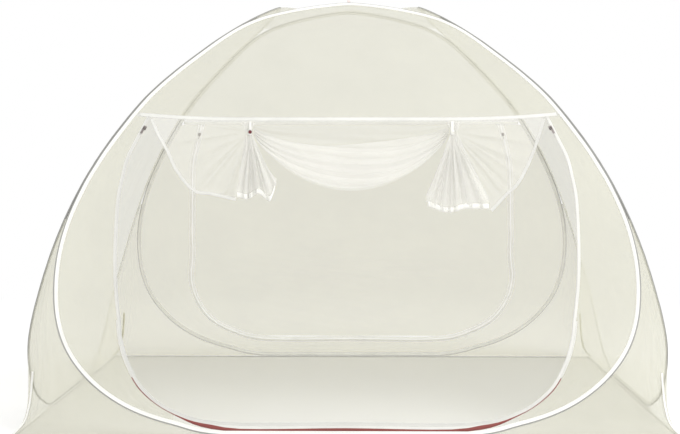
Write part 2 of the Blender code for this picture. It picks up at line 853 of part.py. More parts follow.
def drum(name, radius, length, centre, axis, collection):
    data = bpy.data.meshes.new(name)
    shape = bmesh.new()
    bmesh.ops.create_cone(shape, cap_ends=True, segments=12, radius1=radius, radius2=radius, depth=length)
    turn = axis.to_track_quat("Z", "Y")
    for vertex in shape.verts:
        vertex.co = centre + turn @ vertex.co
    shape.to_mesh(data)
    shape.free()
    made = add_object(name, data, None, collection)
    made.hide_render = True
    made.display_type = "WIRE"
    return made


def combine(target, other, operation):
    change = target.modifiers.new(operation.lower(), "BOOLEAN")
    change.operation = operation
    change.object = other
    other.hide_render = True
    other.display_type = "WIRE"


def zip_frame(wall, line, rise):
    """Centre, direction down the zip, sideways and outwards where the right-hand line passes a rise."""
    half = line[len(line) // 2 :]
    for lower, upper in zip(half, half[1:]):
        if lower[1] <= rise <= upper[1]:
            break
    bottom = wall.place(*lower)
    top = wall.place(*upper)
    share = (rise - lower[1]) / (upper[1] - lower[1])
    centre = bottom.lerp(top, share)
    along = (bottom - top).normalized()
    inward = wall.place(0.0, rise) - wall.place(upper[0], rise)
    out = along.cross(inward).normalized()
    if out.dot(wall.outward) < 0:
        out.negate()
    sideways = out.cross(along).normalized()
    run = (centre - bottom).length
    return centre, along, sideways, out, run


def slider_and_pull(name, wall, line, sign):
    """Slider body with two wings, post and ear, and a pull that hangs through the ear's eye."""
    rise = wall.rise_at(seam_height) - front_seam_sag - seam_tape_width / 2 - slider_from_seam
    centre, along, sideways, out, run = zip_frame(wall, line, rise)
    if sign < 0:
        mirror = Vector((-1, 1, 1))
        centre, along, sideways, out = (vector * mirror for vector in (centre, along, sideways, out))
    frame = (along, sideways, out)
    level = zip_chain_thickness / 2 + seat_gap + slider_plate / 2
    wing = (slider_length, slider_width, slider_plate)
    body = block(name, wing, centre + out * level, frame, zinc_alloy)
    lower = block(f"{name}_lower", wing, centre - out * level, frame, None, cutters)
    combine(body, lower, "UNION")
    post = block(f"{name}_post", (slider_length * 0.5, slider_post, 2 * level), centre, frame, None, cutters)
    combine(body, post, "UNION")
    ear_level = level + slider_plate / 2 + ear_height / 2 - seat_gap
    ear = block(f"{name}_ear", (ear_length, ear_width, ear_height), centre + out * ear_level, frame, None, cutters)
    combine(body, ear, "UNION")
    eye = centre + out * (level + slider_plate / 2 + eye_height)
    hole = drum(f"{name}_eye", eye_diameter / 2, ear_width * 3, eye, sideways, cutters)
    combine(body, hole, "DIFFERENCE")
    finished = made_mesh(body)

    outline = rectangle(pull_length / 2, pull_width / 2)
    inner_width = pull_width / 2 - pull_bar
    window = rectangle(pull_window_end / 2, inner_width)
    shift = pull_length / 2 - pull_bar - pull_window_end / 2
    window = [(x - shift, y) for x, y in window]
    data = bpy.data.curves.new(f"{name}_pull", "CURVE")
    data.dimensions = "2D"
    data.fill_mode = "BOTH"
    data.extrude = pull_bar / 2
    for points in (outline, window):
        spline = data.splines.new("POLY")
        spline.points.add(len(points) - 1)
        for target, (x, y) in zip(spline.points, points):
            target.co = (x, y, 0.0, 1.0)
        spline.use_cyclic_u = True
    pull = add_object(f"{name}_pull", data, zinc_alloy)
    bpy.context.view_layer.update()
    tab = made_mesh(pull)
    pull_centre = eye + along * (pull_length / 2 - pull_bar / 2)
    for vertex in tab.data.vertices:
        local = vertex.co.copy()
        vertex.co = pull_centre - eye + along * local.x + sideways * local.y + out * local.z
    tab.matrix_world.translation = eye
    fix = bmesh.new()
    fix.from_mesh(tab.data)
    bmesh.ops.recalc_face_normals(fix, faces=fix.faces)
    fix.to_mesh(tab.data)
    fix.free()
    print("slider", finished.name, [round(v, 5) for v in centre], "along", [round(v, 5) for v in along], "run", round(run, 4))
    print("pull", tab.name, [round(v, 5) for v in eye], "axis", [round(v, 5) for v in sideways])


for sign, hand in ((-1, "left"), (1, "right")):
    slider_and_pull(f"front_{hand}_slider", front, front_line, sign)
    slider_and_pull(f"back_{hand}_slider", back, back_line, sign)


door_half = front_line[-1][0] - zip_chain_half - door_end_gap


def seam_level(across):
    """Height and depth of the gathered door's top edge, just under the seam tape."""
    rise = seam_rise(front, across, front_door["half_width"], front_door["sag"]) - seam_tape_width / 2 - door_gap
    point = front.place(across, rise)
    return point.z, point.y


def curve_through(points, t):
    """Catmull-Rom curve through hand-placed points."""
    count = len(points) - 1
    place = min(t * count, count - 1e-9)
    i = int(place)
    local = place - i
    p0 = points[max(i - 1, 0)]
    p1 = points[i]
    p2 = points[i + 1]
    p3 = points[min(i + 2, count)]
    result = []
    for a, b, c, d in zip(p0, p1, p2, p3):
        cubic = 2 * b + (c - a) * local + (2 * a - 5 * b + 4 * c - d) * local ** 2 + (3 * b - a - 3 * c + d) * local ** 3
        result.append(cubic / 2)
    return tuple(result)


def cloth_piece(name, columns, rows, place, finish):
    """A folded cloth with a front and a back face; place gives across, height, depth and thickness."""
    rings = []
    for i in range(columns + 1):
        front_side_points = []
        back_side_points = []
        for j in range(rows + 1):
            across, height, depth, thickness = place(i / columns, j / rows)
            front_side_points.append(Vector((across, depth - thickness / 2, height)))
            back_side_points.append(Vector((across, depth + thickness / 2, height)))
        rings.append(front_side_points + list(reversed(back_side_points)))
    return mesh_object(name, rings, finish, capped=True)


def thickness_at(t):
    """One layer where the net leaves the seam, several where it is gathered."""
    return net_thickness + (cloth_thickness - net_thickness) * min(1.0, t / lead_share)


def side_cloth(tie_across, tail_drop, outer_reach, edge_shares):
    """The part of the door between its free zip edge and the tie, with its tail below the tie."""
    sign = -1 if tie_across < 0 else 1
    tie_height = seam_level(tie_across)[0]
    hang_depth = seam_level(0.0)[1]
    inner_start = abs(tie_across) + seat_gap
    top_span = inner_start - door_half
    hem_across = abs(tie_across) + outer_reach
    edge_height = seam_level(sign * door_half)[0]
    edge_drop = edge_height - tie_height + tail_drop
    free_points = []
    for across_share, drop_share in edge_shares:
        free_points.append((door_half + (hem_across - door_half) * across_share, edge_height - edge_drop * drop_share))
    pinch_share = pinch_drop / tail_drop
    pinch_place = pinch_share ** (1 / tail_slowing)

    def place(s, t):
        free = curve_through(free_points, t)
        progress = t ** tail_slowing
        centre_height = tie_height - tail_drop * progress
        below = max(0.0, (progress - pinch_share) / (1 - pinch_share))
        inner = inner_start - tail_inner_reach * below
        pull = math.exp(-(((t - pinch_place) / pinch_spread_share) ** 2))
        gather = s * (1 - gather_share) + (1 - (1 - s) ** (1 + gather_power * pull)) * gather_share
        across = free[0] + (inner - free[0]) * gather
        height = free[1] + (centre_height - free[1]) * gather
        top_across = door_half + top_span * s
        top_height, top_depth = seam_level(sign * top_across)
        lead = max(0.0, 1 - t / lead_share)
        across += (top_across - across) * lead
        height += (top_height - height) * lead
        if t > 0:
            height = min(height, seam_level(sign * across)[0] - door_gap * 2)
        ripple = math.sin(2 * math.pi * side_folds * s) * min(1.0, progress / pinch_share)
        depth = hang_depth + fold_depth / 2 * ripple * (1 - pull / 2)
        depth += (top_depth - depth) * max(0.0, 1 - t / lead_share / 2)
        return sign * across, height, depth, thickness_at(t)

    return place


left_side = side_cloth(left_tie_across, left_tail_drop, left_tail_outer_reach, left_edge_shares)
right_side = side_cloth(right_tie_across, right_tail_drop, right_tail_outer_reach, right_edge_shares)


def swag_place(s, t):
    """The middle of the door, hanging in curved folds between the two ties."""
    start = left_tie_across + door_gap
    end = right_tie_across - door_gap
    across = start + (end - start) * s
    top, seam_depth = seam_level(across)
    hang = pinch_drop + swag_drop * (1 - (2 * s - 1) ** 2) ** 0.85
    gather = math.sin(math.pi * s) ** 0.6
    height = top - hang * t
    folds = math.sin(math.pi * 2 * swag_folds * t) * gather
    depth = seam_depth + fold_depth / 2 * folds * min(1.0, t / swell_share)
    depth += swag_set_back * min(1.0, (top - height) / swag_set_back / 2)
    return across, height, depth, thickness_at(t)


cloth_piece("front_door_swag", 24, 14, swag_place, white_net)
cloth_piece("front_door_left_side", 22, side_rows, left_side, white_net)
cloth_piece("front_door_right_side", 22, side_rows, right_side, white_net)


def free_tape(name, place, sign):
    """The zip's other half along the door's free edge."""
    steps = side_rows
    rings = []
    points = [Vector(place(0.0, k / steps)[:3]) for k in range(1, steps + 1)]
    for k, point in enumerate(points):
        following = points[min(k + 1, steps - 1)]
        before = points[max(k - 1, 0)]
        heading = Vector((following.x - before.x, following.y - before.y))
        heading.normalize()
        outward = Vector((sign * abs(heading.y), -abs(heading.x)))
        tip = outward * free_tape_width
        root = outward * seat_gap
        centre_depth = point.z
        half = zip_tape_thickness / 2
        ring = []
        for offset, side in ((root, -half), (tip, -half * 2.5), (tip, half * 2.5), (root, half)):
            ring.append(Vector((point.x + offset.x, centre_depth + side, point.y + offset.y)))
        rings.append(ring)
    mesh_object(name, rings, zip_white, capped=True)


free_tape("front_door_left_zip_tape", left_side, -1)
free_tape("front_door_right_zip_tape", right_side, 1)


def tie(hand, tie_across):
    """The strap that holds the gathered net to the seam; it runs down in front of the pinch."""
    height, depth = seam_level(tie_across)
    half = tie_band_thickness / 2
    top = depth - cloth_thickness / 2 - tie_clearance - half
    face = depth - fold_depth / 4 - cloth_thickness / 2 - tie_clearance - half
    line = ((top, height), (face, height - pinch_drop), (face, height - pinch_drop - tie_band_height))
    rings = []
    for y, z in line:
        ring = []
        for side, out in ((-1, -half), (1, -half), (1, half), (-1, half)):
            ring.append(Vector((tie_across + side * tie_strap_width / 2, y + out, z)))
        rings.append(ring)
    mesh_object(f"front_door_{hand}_tie", rings, binding_white, capped=True)
    return height - pinch_drop, face - half - seat_gap


for hand, tie_across in (("left", left_tie_across), ("right", right_tie_across)):
    pinch_height, face = tie(hand, tie_across)
    if hand == "left":
        radius = button_diameter / 2
        thick = button_thickness / 2
        profile = [(radius * 0.8, thick), (radius, 0.0), (radius * 0.8, -thick)]
        profile = [(0.0, thick)] + profile + [(0.0, -thick)]
        data = bpy.data.meshes.new("front_door_tie_button")
        data.from_pydata([(r, 0.0, h) for r, h in profile], [(k, k + 1) for k in range(len(profile) - 1)], [])
        button = add_object("front_door_tie_button", data, button_red)
        screw = button.modifiers.new("turn", "SCREW")
        screw.steps = 16
        screw.render_steps = 16
        screw.use_merge_vertices = True
        screw.merge_threshold = 0.01 * MM
        button.location = (tie_across, face - thick, pinch_height)
        button.rotation_euler = (math.pi / 2, 0, 0)
    else:
        data = bpy.data.meshes.new("front_door_tie_knot")
        shape = bmesh.new()
        bmesh.ops.create_uvsphere(shape, u_segments=12, v_segments=8, radius=knot_diameter / 2)
        for vertex in shape.verts:
            vertex.co.y *= 0.6
        shape.to_mesh(data)
        shape.free()
        knot = add_object("front_door_tie_knot", data, binding_white)
        knot.location = (tie_across, face - knot_diameter * 0.3, pinch_height)


def hanging_loop():
    """Ribbon loop sewn on the front hoop's top; it turns about its stitching."""
    foot = front.place(*hoop_paths["front"][corner_steps + ridge_steps + crown_steps])
    lift = (sleeve_bore / 2 + sleeve_wall) / math.cos(math.pi / 6) + seat_gap
    outline = []
    window = []
    steps = 12
    for k in range(steps):
        angle = math.pi * 2 * k / steps
        outline.append((loop_depth / 2 * math.sin(angle), loop_height / 2 * (1 - math.cos(angle))))
    for k in range(steps):
        angle = math.pi * 2 * k / steps
        thin_y = loop_depth / 2 - loop_thickness
        thin_z = loop_height / 2 - loop_thickness
        window.append((thin_y * math.sin(angle), loop_height / 2 - thin_z * math.cos(angle)))
    data = bpy.data.curves.new("hanging_loop", "CURVE")
    data.dimensions = "2D"
    data.fill_mode = "BOTH"
    data.extrude = loop_width / 2
    for points in (outline, window):
        spline = data.splines.new("POLY")
        spline.points.add(len(points) - 1)
        for target, (x, y) in zip(spline.points, points):
            target.co = (x, y, 0.0, 1.0)
        spline.use_cyclic_u = True
    made = add_object("hanging_loop", data, binding_white)
    made.location = foot + Vector((0, 0, lift))
    made.rotation_euler = (math.pi / 2, 0, math.pi / 2)
    print("loop foot", [round(v, 5) for v in foot + Vector((0, 0, lift))])


hanging_loop()
print("door axis", [round(v, 5) for v in (0.0, seam_level(0.0)[1], seam_level(0.0)[0] + door_gap / 2)])
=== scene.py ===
"""Pop-up mosquito net tent: white net on four sprung hoops, front door gathered up, back door closed.

Metres, +Z up, origin in the middle of the base, front towards -Y.
"""

import bisect
import json
import math

import bpy
from bpy.props import FloatProperty, FloatVectorProperty, IntProperty, PointerProperty
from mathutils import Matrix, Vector

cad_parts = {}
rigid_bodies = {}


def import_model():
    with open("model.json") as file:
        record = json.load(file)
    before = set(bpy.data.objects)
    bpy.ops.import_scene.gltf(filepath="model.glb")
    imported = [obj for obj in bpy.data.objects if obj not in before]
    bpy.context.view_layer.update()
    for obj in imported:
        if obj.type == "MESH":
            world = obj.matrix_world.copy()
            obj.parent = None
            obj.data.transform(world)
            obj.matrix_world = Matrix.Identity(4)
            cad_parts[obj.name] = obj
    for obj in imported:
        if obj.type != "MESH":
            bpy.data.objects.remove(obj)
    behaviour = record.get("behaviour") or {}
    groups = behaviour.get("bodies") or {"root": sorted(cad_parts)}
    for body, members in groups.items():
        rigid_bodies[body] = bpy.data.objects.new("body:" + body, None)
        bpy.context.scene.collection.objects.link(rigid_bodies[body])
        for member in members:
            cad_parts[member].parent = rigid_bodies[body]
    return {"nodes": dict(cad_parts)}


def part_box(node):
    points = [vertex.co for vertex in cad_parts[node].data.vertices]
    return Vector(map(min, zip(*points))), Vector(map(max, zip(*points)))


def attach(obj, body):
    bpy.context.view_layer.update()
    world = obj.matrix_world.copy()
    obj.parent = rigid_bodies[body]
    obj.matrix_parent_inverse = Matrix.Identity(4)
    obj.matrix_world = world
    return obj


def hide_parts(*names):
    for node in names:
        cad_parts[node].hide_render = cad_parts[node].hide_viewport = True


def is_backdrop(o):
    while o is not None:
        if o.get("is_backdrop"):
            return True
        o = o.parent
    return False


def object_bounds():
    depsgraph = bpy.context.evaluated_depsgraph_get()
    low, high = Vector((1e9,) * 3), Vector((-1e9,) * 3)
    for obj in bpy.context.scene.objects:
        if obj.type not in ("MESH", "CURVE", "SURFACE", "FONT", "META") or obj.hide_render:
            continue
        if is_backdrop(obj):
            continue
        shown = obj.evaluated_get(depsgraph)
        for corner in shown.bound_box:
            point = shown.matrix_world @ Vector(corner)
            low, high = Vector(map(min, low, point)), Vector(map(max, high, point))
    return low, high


bl_info = {
    "name": "Mosquito Net Tent",
    "version": (1, 0, 0),
    "blender": (4, 5, 0),
    "location": "View3D > Sidebar > Net Tent",
    "description": "Builds the net, bindings, zips and gathered door of a pop-up mosquito net tent",
    "category": "Object",
}

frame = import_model()
cad_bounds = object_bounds()

MM = 0.001
base_width = 2.0
base_depth = 1.8
hoop_height = 1.362
side_top_reach = 0.240
end_top_reach = 0.145
part_height = hoop_height * 0.5477
join_height = hoop_height * 0.9266
# Tables of the dome's outline: (share of the height, share of the reach at the floor).
lean_shares = (
    (0.0, 1.0), (0.162, 0.977), (0.330, 0.904), (0.529, 0.774), (0.734, 0.553), (0.881, 0.287), (1.0, 0.0),
)
corner_round_shares = (1.98, 3.87)
crown_round_shares = (2.72, 1.5)
corner_steps = 11
ridge_step_shares = (0.125, 0.25, 0.5, 0.67, 0.84, 1.0)
ridge_steps = len(ridge_step_shares)
crown_steps = 5
fine_steps = 6
lean_samples = 240

gap = 0.3 * MM
base_net_thickness = 1.0 * MM
hem_thickness = 1.0 * MM
hem_width = 14 * MM
sleeve_bore = 5.6 * MM
sleeve_wall = 0.8 * MM
sleeve_leg = 11.0 * MM
sleeve_mouth = 2.1 * MM
sleeve_reach = sleeve_bore / 2 + sleeve_wall
net_grip = 6.5 * MM
hoop_spacing = 13.0 * MM
wire_height = base_net_thickness + hem_thickness + 2 * gap + sleeve_reach / math.cos(math.pi / 6)
pair_offset = hoop_spacing / 2 * math.sqrt(0.75)
outline_bottom = wire_height - pair_offset

seam_height = hoop_height * 0.71
front_seam_sag = 20 * MM
seam_tape_width = 14 * MM
seam_tape_thickness = 1.2 * MM
seam_flat_share = 0.5
zip_top_run = 75 * MM
zip_tape_width = 11 * MM
zip_chain_half = 2.4 * MM
zip_chain_thickness = 2.2 * MM
zip_tape_thickness = 0.8 * MM
slider_post = 1.2 * MM
front_zip_inset = 0.192
back_zip_inset = 0.225
# How far each zip lies inside its hoop: (share of the height, share of the inset).
front_inset_shares = (
    (0.0, 0.20), (0.03, 0.22), (0.055, 0.39), (0.09, 0.62), (0.14, 0.83), (0.20, 0.96), (0.27, 1.0),
    (0.33, 0.99), (0.40, 0.94), (0.47, 0.84), (0.55, 0.64), (0.64, 0.41), (0.71, 0.25),
)
back_inset_shares = (
    (0.0, 0.30), (0.03, 0.34), (0.08, 0.55), (0.18, 0.84), (0.33, 1.0),
    (0.47, 0.93), (0.60, 0.66), (0.71, 0.34),
)
band_thickness = 1.6 * MM
band_edge_width = 3.0 * MM
band_steps = 6

left_tie_across = -0.305
right_tie_across = 0.330
pinch_drop = 34 * MM
swag_drop = 0.185
left_tail_drop = 0.245
right_tail_drop = 0.280
tail_inner_reach = 0.080
left_tail_outer_reach = 0.045
right_tail_outer_reach = 0.120
cloth_thickness = 2.2 * MM
fold_depth = 16 * MM
swag_set_back = 22 * MM
tail_slowing = 1.8
gather_power = 3
gather_share = 0.75
pinch_spread_share = 0.16
lead_share = 0.12
swell_share = 0.3
# The door's free edges, (share across, share of the drop), and the waves of the tails' hems.
left_edge_shares = (
    (0.0, 0.0), (0.075, 0.18), (0.198, 0.41), (0.31, 0.65), (0.50, 0.88), (0.71, 0.924), (1.0, 1.0),
)
right_edge_shares = ((0.0, 0.0), (0.136, 0.253), (0.28, 0.468), (0.49, 0.697), (0.74, 0.838), (1.0, 1.0))
left_hem_waves = ((0.0, 0.004), (0.30, -0.003), (0.55, 0.014), (0.85, -0.009), (1.0, 0.034))
right_hem_waves = ((0.0, 0.002), (0.35, 0.003), (0.65, -0.010), (1.0, 0.012))
tail_layers = 3
tail_start = 0.14
tie_gather = 22 * MM
swag_layers = 3
swag_band_start = 0.36
# Painted shade along each binding's rounded fold, where the wire lies inside: nearest and farthest place, and
# the darkest tone's factor.
painted_fold_shades = {
    "front": (5.4 * MM, 7.6 * MM, 0.34),
    "back": (3.2 * MM, 6.5 * MM, 0.60),
    "side": (3.2 * MM, 6.5 * MM, 0.34),
}
# The threshold's rose part: how high it reaches, its columns, and (place across, width).
rose_height = 0.175
rose_columns = 2
rose_shares = (
    (0.0, 0.0085), (0.32, 0.0085), (0.38, 0.011), (0.43, 0.015), (0.455, 0.014), (0.475, 0.007),
    (0.52, 0.004), (0.9, 0.004),
)
tail_hem_width = 15 * MM
layer_spacing = 3.0 * MM
door_gap = 0.8 * MM
door_end_gap = 6 * MM
tie_clearance = 0.5 * MM
tie_band_height = 9 * MM
tie_band_thickness = 1.0 * MM
tie_strap_width = 8 * MM
free_tape_width = 10 * MM
corner_inset = 5 * MM
corner_hollow_share = 0.22
corner_tape_width = 9 * MM
corner_tape_steps = 5
roof_sag = 4 * MM
loop_height = 17 * MM
loop_width = 10 * MM
loop_depth = 9 * MM
loop_edge = 0.5 * MM
button_radius = 5.5 * MM
button_depth = 3.2 * MM
button_edge = 0.3 * MM
# Each inset of the button's face: how far in, and how far out.
button_insets = ((0.0013, 0), (0.0004, -0.0007), (0.0020, 0.0002))
bead_edge = 0.6 * MM
bead_end = 1.8 * MM
tail_hem_half = 0.9 * MM
strap_half = 0.6 * MM
strap_set_off = 1.7 * MM
tape_stitch_inset = 1.8 * MM
binding_stitch_inset = 3.5 * MM
stitch_half = 0.5 * MM
steel_colour = (0.45, 0.46, 0.48)
ribbon_colour = (0.86, 0.74, 0.72)

same_place = 0.02 * MM
level_step = 0.1 * MM
binding_pucker = 0.25 * MM
seam_pucker = 0.4 * MM
seam_steps = 150
hem_steps = 110
strap_steps = 24
free_zip_steps = 72
tail_hem_steps = 120
tie_steps = 20
loop_steps = 64
hem_edge = 1.2 * MM
corner_foot = base_net_thickness + hem_thickness + 2 * gap + 0.4 * MM

white = (1.0, 1.0, 1.0, 1.0)
lamp_place = (2.4, -3.2, 3.4)
lamp_size = 2.6
# The photograph's camera: its place, the picture's width and focal length in pixels, and its turn.
camera_place = (0.0569, -5.2735, 0.8275)
sensor_width = 36
picture_pixels = 680
focal_pixels = 1482.65
camera_pitch = 0.0396
camera_yaw = -0.0170

CORNERS = tuple(
    (end_name, side_name, x_sign, y_sign)
    for end_name, y_sign in (("front", -1), ("back", 1))
    for side_name, x_sign in (("left", -1), ("right", 1))
)


def colour_property(name, description, default):
    return FloatVectorProperty(name=name, description=description, subtype="COLOR", default=default)


def share_property(name, description, default):
    return FloatProperty(
        name=name, description=description, subtype="FACTOR", min=0.0, max=1.0, default=default
    )


def length_property(name, description, default):
    return FloatProperty(
        name=name, description=description, subtype="DISTANCE", unit="LENGTH", default=default
    )


class NetSettings(bpy.types.PropertyGroup):
    colour: colour_property("Net colour", "Colour of the net's threads", (0.60, 0.59, 0.485))
    cover: share_property("Cover", "Share of the light that the net stops", 0.44)
    doorway_colour: colour_property(
        "Back doorway's colour", "Colour of the net in the closed doorway", (0.62, 0.595, 0.41))
    doorway_cover: share_property(
        "Back doorway's cover", "Share of the light that the closed doorway's net stops", 0.50)
    cell: length_property("Mesh size", "Width of one hole of the net", 1.6 * MM)
    wrinkle: length_property("Wrinkle", "Depth of the soft wrinkles in stretched panels", 1.6 * MM)
    corner_wrinkle: length_property(
        "Corner wrinkle", "Depth of the creases in the loose corners", 5 * MM)


class BindingSettings(bpy.types.PropertyGroup):
    colour: colour_property("Binding colour", "Colour of the folded tape", (0.84, 0.835, 0.79))
    # Both doorways' zips and seam bands are one white tape: the front colour is darkened as painted shade
    # against the strong front light, and the back colour is lightened as painted light for the light that
    # comes through the nets.
    front_shaded_colour: colour_property(
        "Front zip colour", "Colour of the front zip and seam band", (0.70, 0.695, 0.655))
    back_lit_colour: colour_property(
        "Back zip colour", "Colour of the back zip and seam band", (0.95, 0.945, 0.91))
    band_colour: colour_property(
        "Band colour", "Colour of the doorway's lower band", (0.25, 0.07, 0.062))
    stitch: length_property("Stitch length", "Length of one stitch and its gap", 3.2 * MM)


class DoorSettings(bpy.types.PropertyGroup):
    # Painted light: the gathered net is the walls' net, painted lighter so that its layers, which shade each
    # other, still look white.
    colour: colour_property(
        "Gathered net colour", "Colour of the net that hangs in folds", (0.85, 0.84, 0.80))
    cover: share_property(
        "Gathered cover", "Share of the light that one layer of the folded net stops", 0.22)
    fine_folds: IntProperty(
        name="Tail folds", description="Folds that fan out from each tie in the tail below it",
        min=3, max=12, default=5)
    fine_depth: length_property("Fine fold depth", "Depth of the small folds", 1.7 * MM)
    metal: colour_property("Slider colour", "Colour of the sliders and pulls", (0.30, 0.27, 0.26))
    button: colour_property("Button colour", "Colour of the tie's button", (0.14, 0.016, 0.02))


class StageSettings(bpy.types.PropertyGroup):
    floor_colour: colour_property("Floor colour", "Colour of the plain floor", (0.93, 0.93, 0.93))
    key: FloatProperty(
        name="Key light", description="Power of the large soft lamp in watts", default=75.0)
    sky: FloatProperty(
        name="Sky", description="Strength of the even light from all round", default=1.13)


SETTINGS = (
    ("net_tent_net", NetSettings),
    ("net_tent_binding", BindingSettings),
    ("net_tent_door", DoorSettings),
    ("net_tent_stage", StageSettings),
)


def eased(shares, at):
    """Smooth monotone curve through a table of shares."""
    if at <= shares[0][0]:
        return shares[0][1]
    if at >= shares[-1][0]:
        return shares[-1][1]
    slopes = []
    for (x0, y0), (x1, y1) in zip(shares, shares[1:]):
        slopes.append((y1 - y0) / (x1 - x0))
    tangents = [slopes[0]]
    for before, after in zip(slopes, slopes[1:]):
        tangents.append(0.0 if before * after <= 0 else 2 * before * after / (before + after))
    tangents.append(slopes[-1])
    for i, (start, end) in enumerate(zip(shares, shares[1:])):
        if at <= end[0]:
            width = end[0] - start[0]
            t = (at - start[0]) / width
            rise = 3 * t * t - 2 * t ** 3
            lead = t ** 3 - 2 * t * t + t
            tail = t ** 3 - t * t
            bend = lead * tangents[i] + tail * tangents[i + 1]
            return start[1] * (1 - rise) + end[1] * rise + width * bend


def side_reach(height):
    """Half the dome's width at a height."""
    return side_top_reach + (base_width / 2 - side_top_reach) * eased(lean_shares, height / hoop_height)


def end_reach(height):
    """Half the dome's depth at a height."""
    return end_top_reach + (base_depth / 2 - end_top_reach) * eased(lean_shares, height / hoop_height)


class Wall:
    """A panel's surface: level lines are straight, and its section is the dome's curve."""

    def __init__(self, outward, along, own_reach, other_reach):
        self.outward = Vector(outward)
        self.along = Vector(along)
        self.other_reach = other_reach
        self.heights = [hoop_height * k / lean_samples for k in range(lean_samples + 1)]
        self.leans = [own_reach(height) for height in self.heights]
        self.rises = [0.0]
        for k in range(lean_samples):
            step = math.hypot(self.heights[k + 1] - self.heights[k], self.leans[k + 1] - self.leans[k])
            self.rises.append(self.rises[-1] + step)

    def rise_at(self, height):
        """The way up along the surface to a height."""
        share = height / hoop_height * lean_samples
        k = min(int(share), lean_samples - 1)
        return self.rises[k] + (self.rises[k + 1] - self.rises[k]) * (share - k)

    def section(self, rise):
        """How far out and how high the surface is after a way up along it, and both rates there."""
        k = max(bisect.bisect_right(self.rises, rise, 0, lean_samples) - 1, 0)
        span = self.rises[k + 1] - self.rises[k]
        t = (rise - self.rises[k]) / span
        lean_step = self.leans[k + 1] - self.leans[k]
        height_step = self.heights[k + 1] - self.heights[k]
        lean, height = self.leans[k] + lean_step * t, self.heights[k] + height_step * t
        return lean, height, lean_step / span, height_step / span

    def place(self, across, rise, out=0.0):
        """A point on the surface, or a little outside it."""
        lean, height, lean_rate, height_rate = self.section(rise)
        level = self.along * across + self.outward * (lean + out * height_rate)
        return level + Vector((0, 0, height - out * lean_rate))

    def height_at(self, rise):
        return self.section(rise)[1]

    def normal(self, rise):
        _, _, lean_rate, height_rate = self.section(rise)
        return self.outward * height_rate - Vector((0, 0, lean_rate))


walls = {
    "front": Wall((0, -1, 0), (1, 0, 0), end_reach, side_reach),
    "back": Wall((0, 1, 0), (1, 0, 0), end_reach, side_reach),
    "left": Wall((-1, 0, 0), (0, 1, 0), side_reach, end_reach),
    "right": Wall((1, 0, 0), (0, 1, 0), side_reach, end_reach),
}


def half_outline(wall):
    """The hoop's outline from the middle of its bottom to the middle of its top."""
    points = []
    for step in range(corner_steps + 1):
        angle = math.pi / 2 * step / corner_steps
        height = outline_bottom
        if step > 1:
            height += (part_height - outline_bottom) * (1 - math.cos(angle) ** (2 / corner_round_shares[0]))
        points.append((wall.other_reach(height) * math.sin(angle) ** (2 / corner_round_shares[1]), height))
    for share in ridge_step_shares:
        height = part_height + (join_height - part_height) * share
        points.append((wall.other_reach(height), height))
    for step in range(1, crown_steps + 1):
        angle = math.pi / 2 * step / crown_steps
        height = join_height + (hoop_height - join_height) * math.sin(angle) ** (2 / crown_round_shares[0])
        across = wall.other_reach(height) * max(math.cos(angle), 0.0) ** (2 / crown_round_shares[1])
        points.append((across, height))
    points[0] = (0.0, points[0][1])
    points[-1] = (0.0, hoop_height)
    return [(across, wall.rise_at(height)) for across, height in points]


def shifted(points, distances, closed):
    """Points moved to the left of the path's direction, mitred at each corner."""
    count = len(points)
    moved = []
    for i, (x, y) in enumerate(points):
        sides = []
        for a, b in ((i - 1, i), (i, i + 1)):
            if not closed and (a < 0 or b >= count):
                continue
            start, end = points[a % count], points[b % count]
            length = math.hypot(end[0] - start[0], end[1] - start[1])
            sides.append((-(end[1] - start[1]) / length, (end[0] - start[0]) / length))
        if len(sides) == 1:
            sides.append(sides[0])
        dot = sides[0][0] * sides[1][0] + sides[0][1] * sides[1][1]
        distance = distances[i] if isinstance(distances, (list, tuple)) else distances
        scale = distance / (1 + dot)
        moved.append((x + (sides[0][0] + sides[1][0]) * scale, y + (sides[0][1] + sides[1][1]) * scale))
    return moved


def closed_loop(half):
    """The whole outline from its right half."""
    return half + [(-across, rise) for across, rise in reversed(half[1:-1])]


def half_of(loop):
    """The right half of an outline, from bottom to top."""
    return loop[: len(loop) // 2 + 1]


hoop_paths = {
    name: shifted(closed_loop(half_outline(wall)), pair_offset, True) for name, wall in walls.items()
}


def spline(p0, p1, p2, p3, t):
    """A place between the second and third of four points on a smooth curve."""
    result = []
    for a, b, c, d in zip(p0, p1, p2, p3):
        cubic = 2 * b + (c - a) * t + (2 * a - 5 * b + 4 * c - d) * t ** 2 + (3 * b - a - 3 * c + d) * t ** 3
        result.append(cubic / 2)
    return tuple(result)


def curve_through(points, t):
    """A place at a share of the smooth curve through some points."""
    count = len(points) - 1
    place = min(t * count, count - 1e-9)
    i = int(place)
    return spline(points[max(i - 1, 0)], points[i], points[i + 1], points[min(i + 2, count)], place - i)


def fine_loop(path):
    """A smooth closed line through a hoop's corners, level along the floor."""
    count = len(path)
    lowest = min(rise for _, rise in path)
    fine = []
    for i in range(count):
        corners = [path[(i + k) % count] for k in (-1, 0, 1, 2)]
        for k in range(fine_steps):
            across, rise = spline(*corners, k / fine_steps)
            fine.append((across, max(rise, lowest)))
    return fine


fine_paths = {name: fine_loop(path) for name, path in hoop_paths.items()}


def on_stretch(wall, points, rise):
    """Where an outline passes a rise, with the point on the straight line between its corners."""
    for start, end in zip(points, points[1:]):
        if (start[1] - rise) * (end[1] - rise) <= 0 and start[1] != end[1]:
            t = (rise - start[1]) / (end[1] - start[1])
            return start[0] + (end[0] - start[0]) * t, rise, wall.place(*start).lerp(wall.place(*end), t)
    raise ValueError("the outline doesn't reach that rise")


def mirrored_place(place):
    if len(place) == 2:
        return -place[0], place[1]
    return -place[0], place[1], place[2] * Vector((-1, 1, 1))


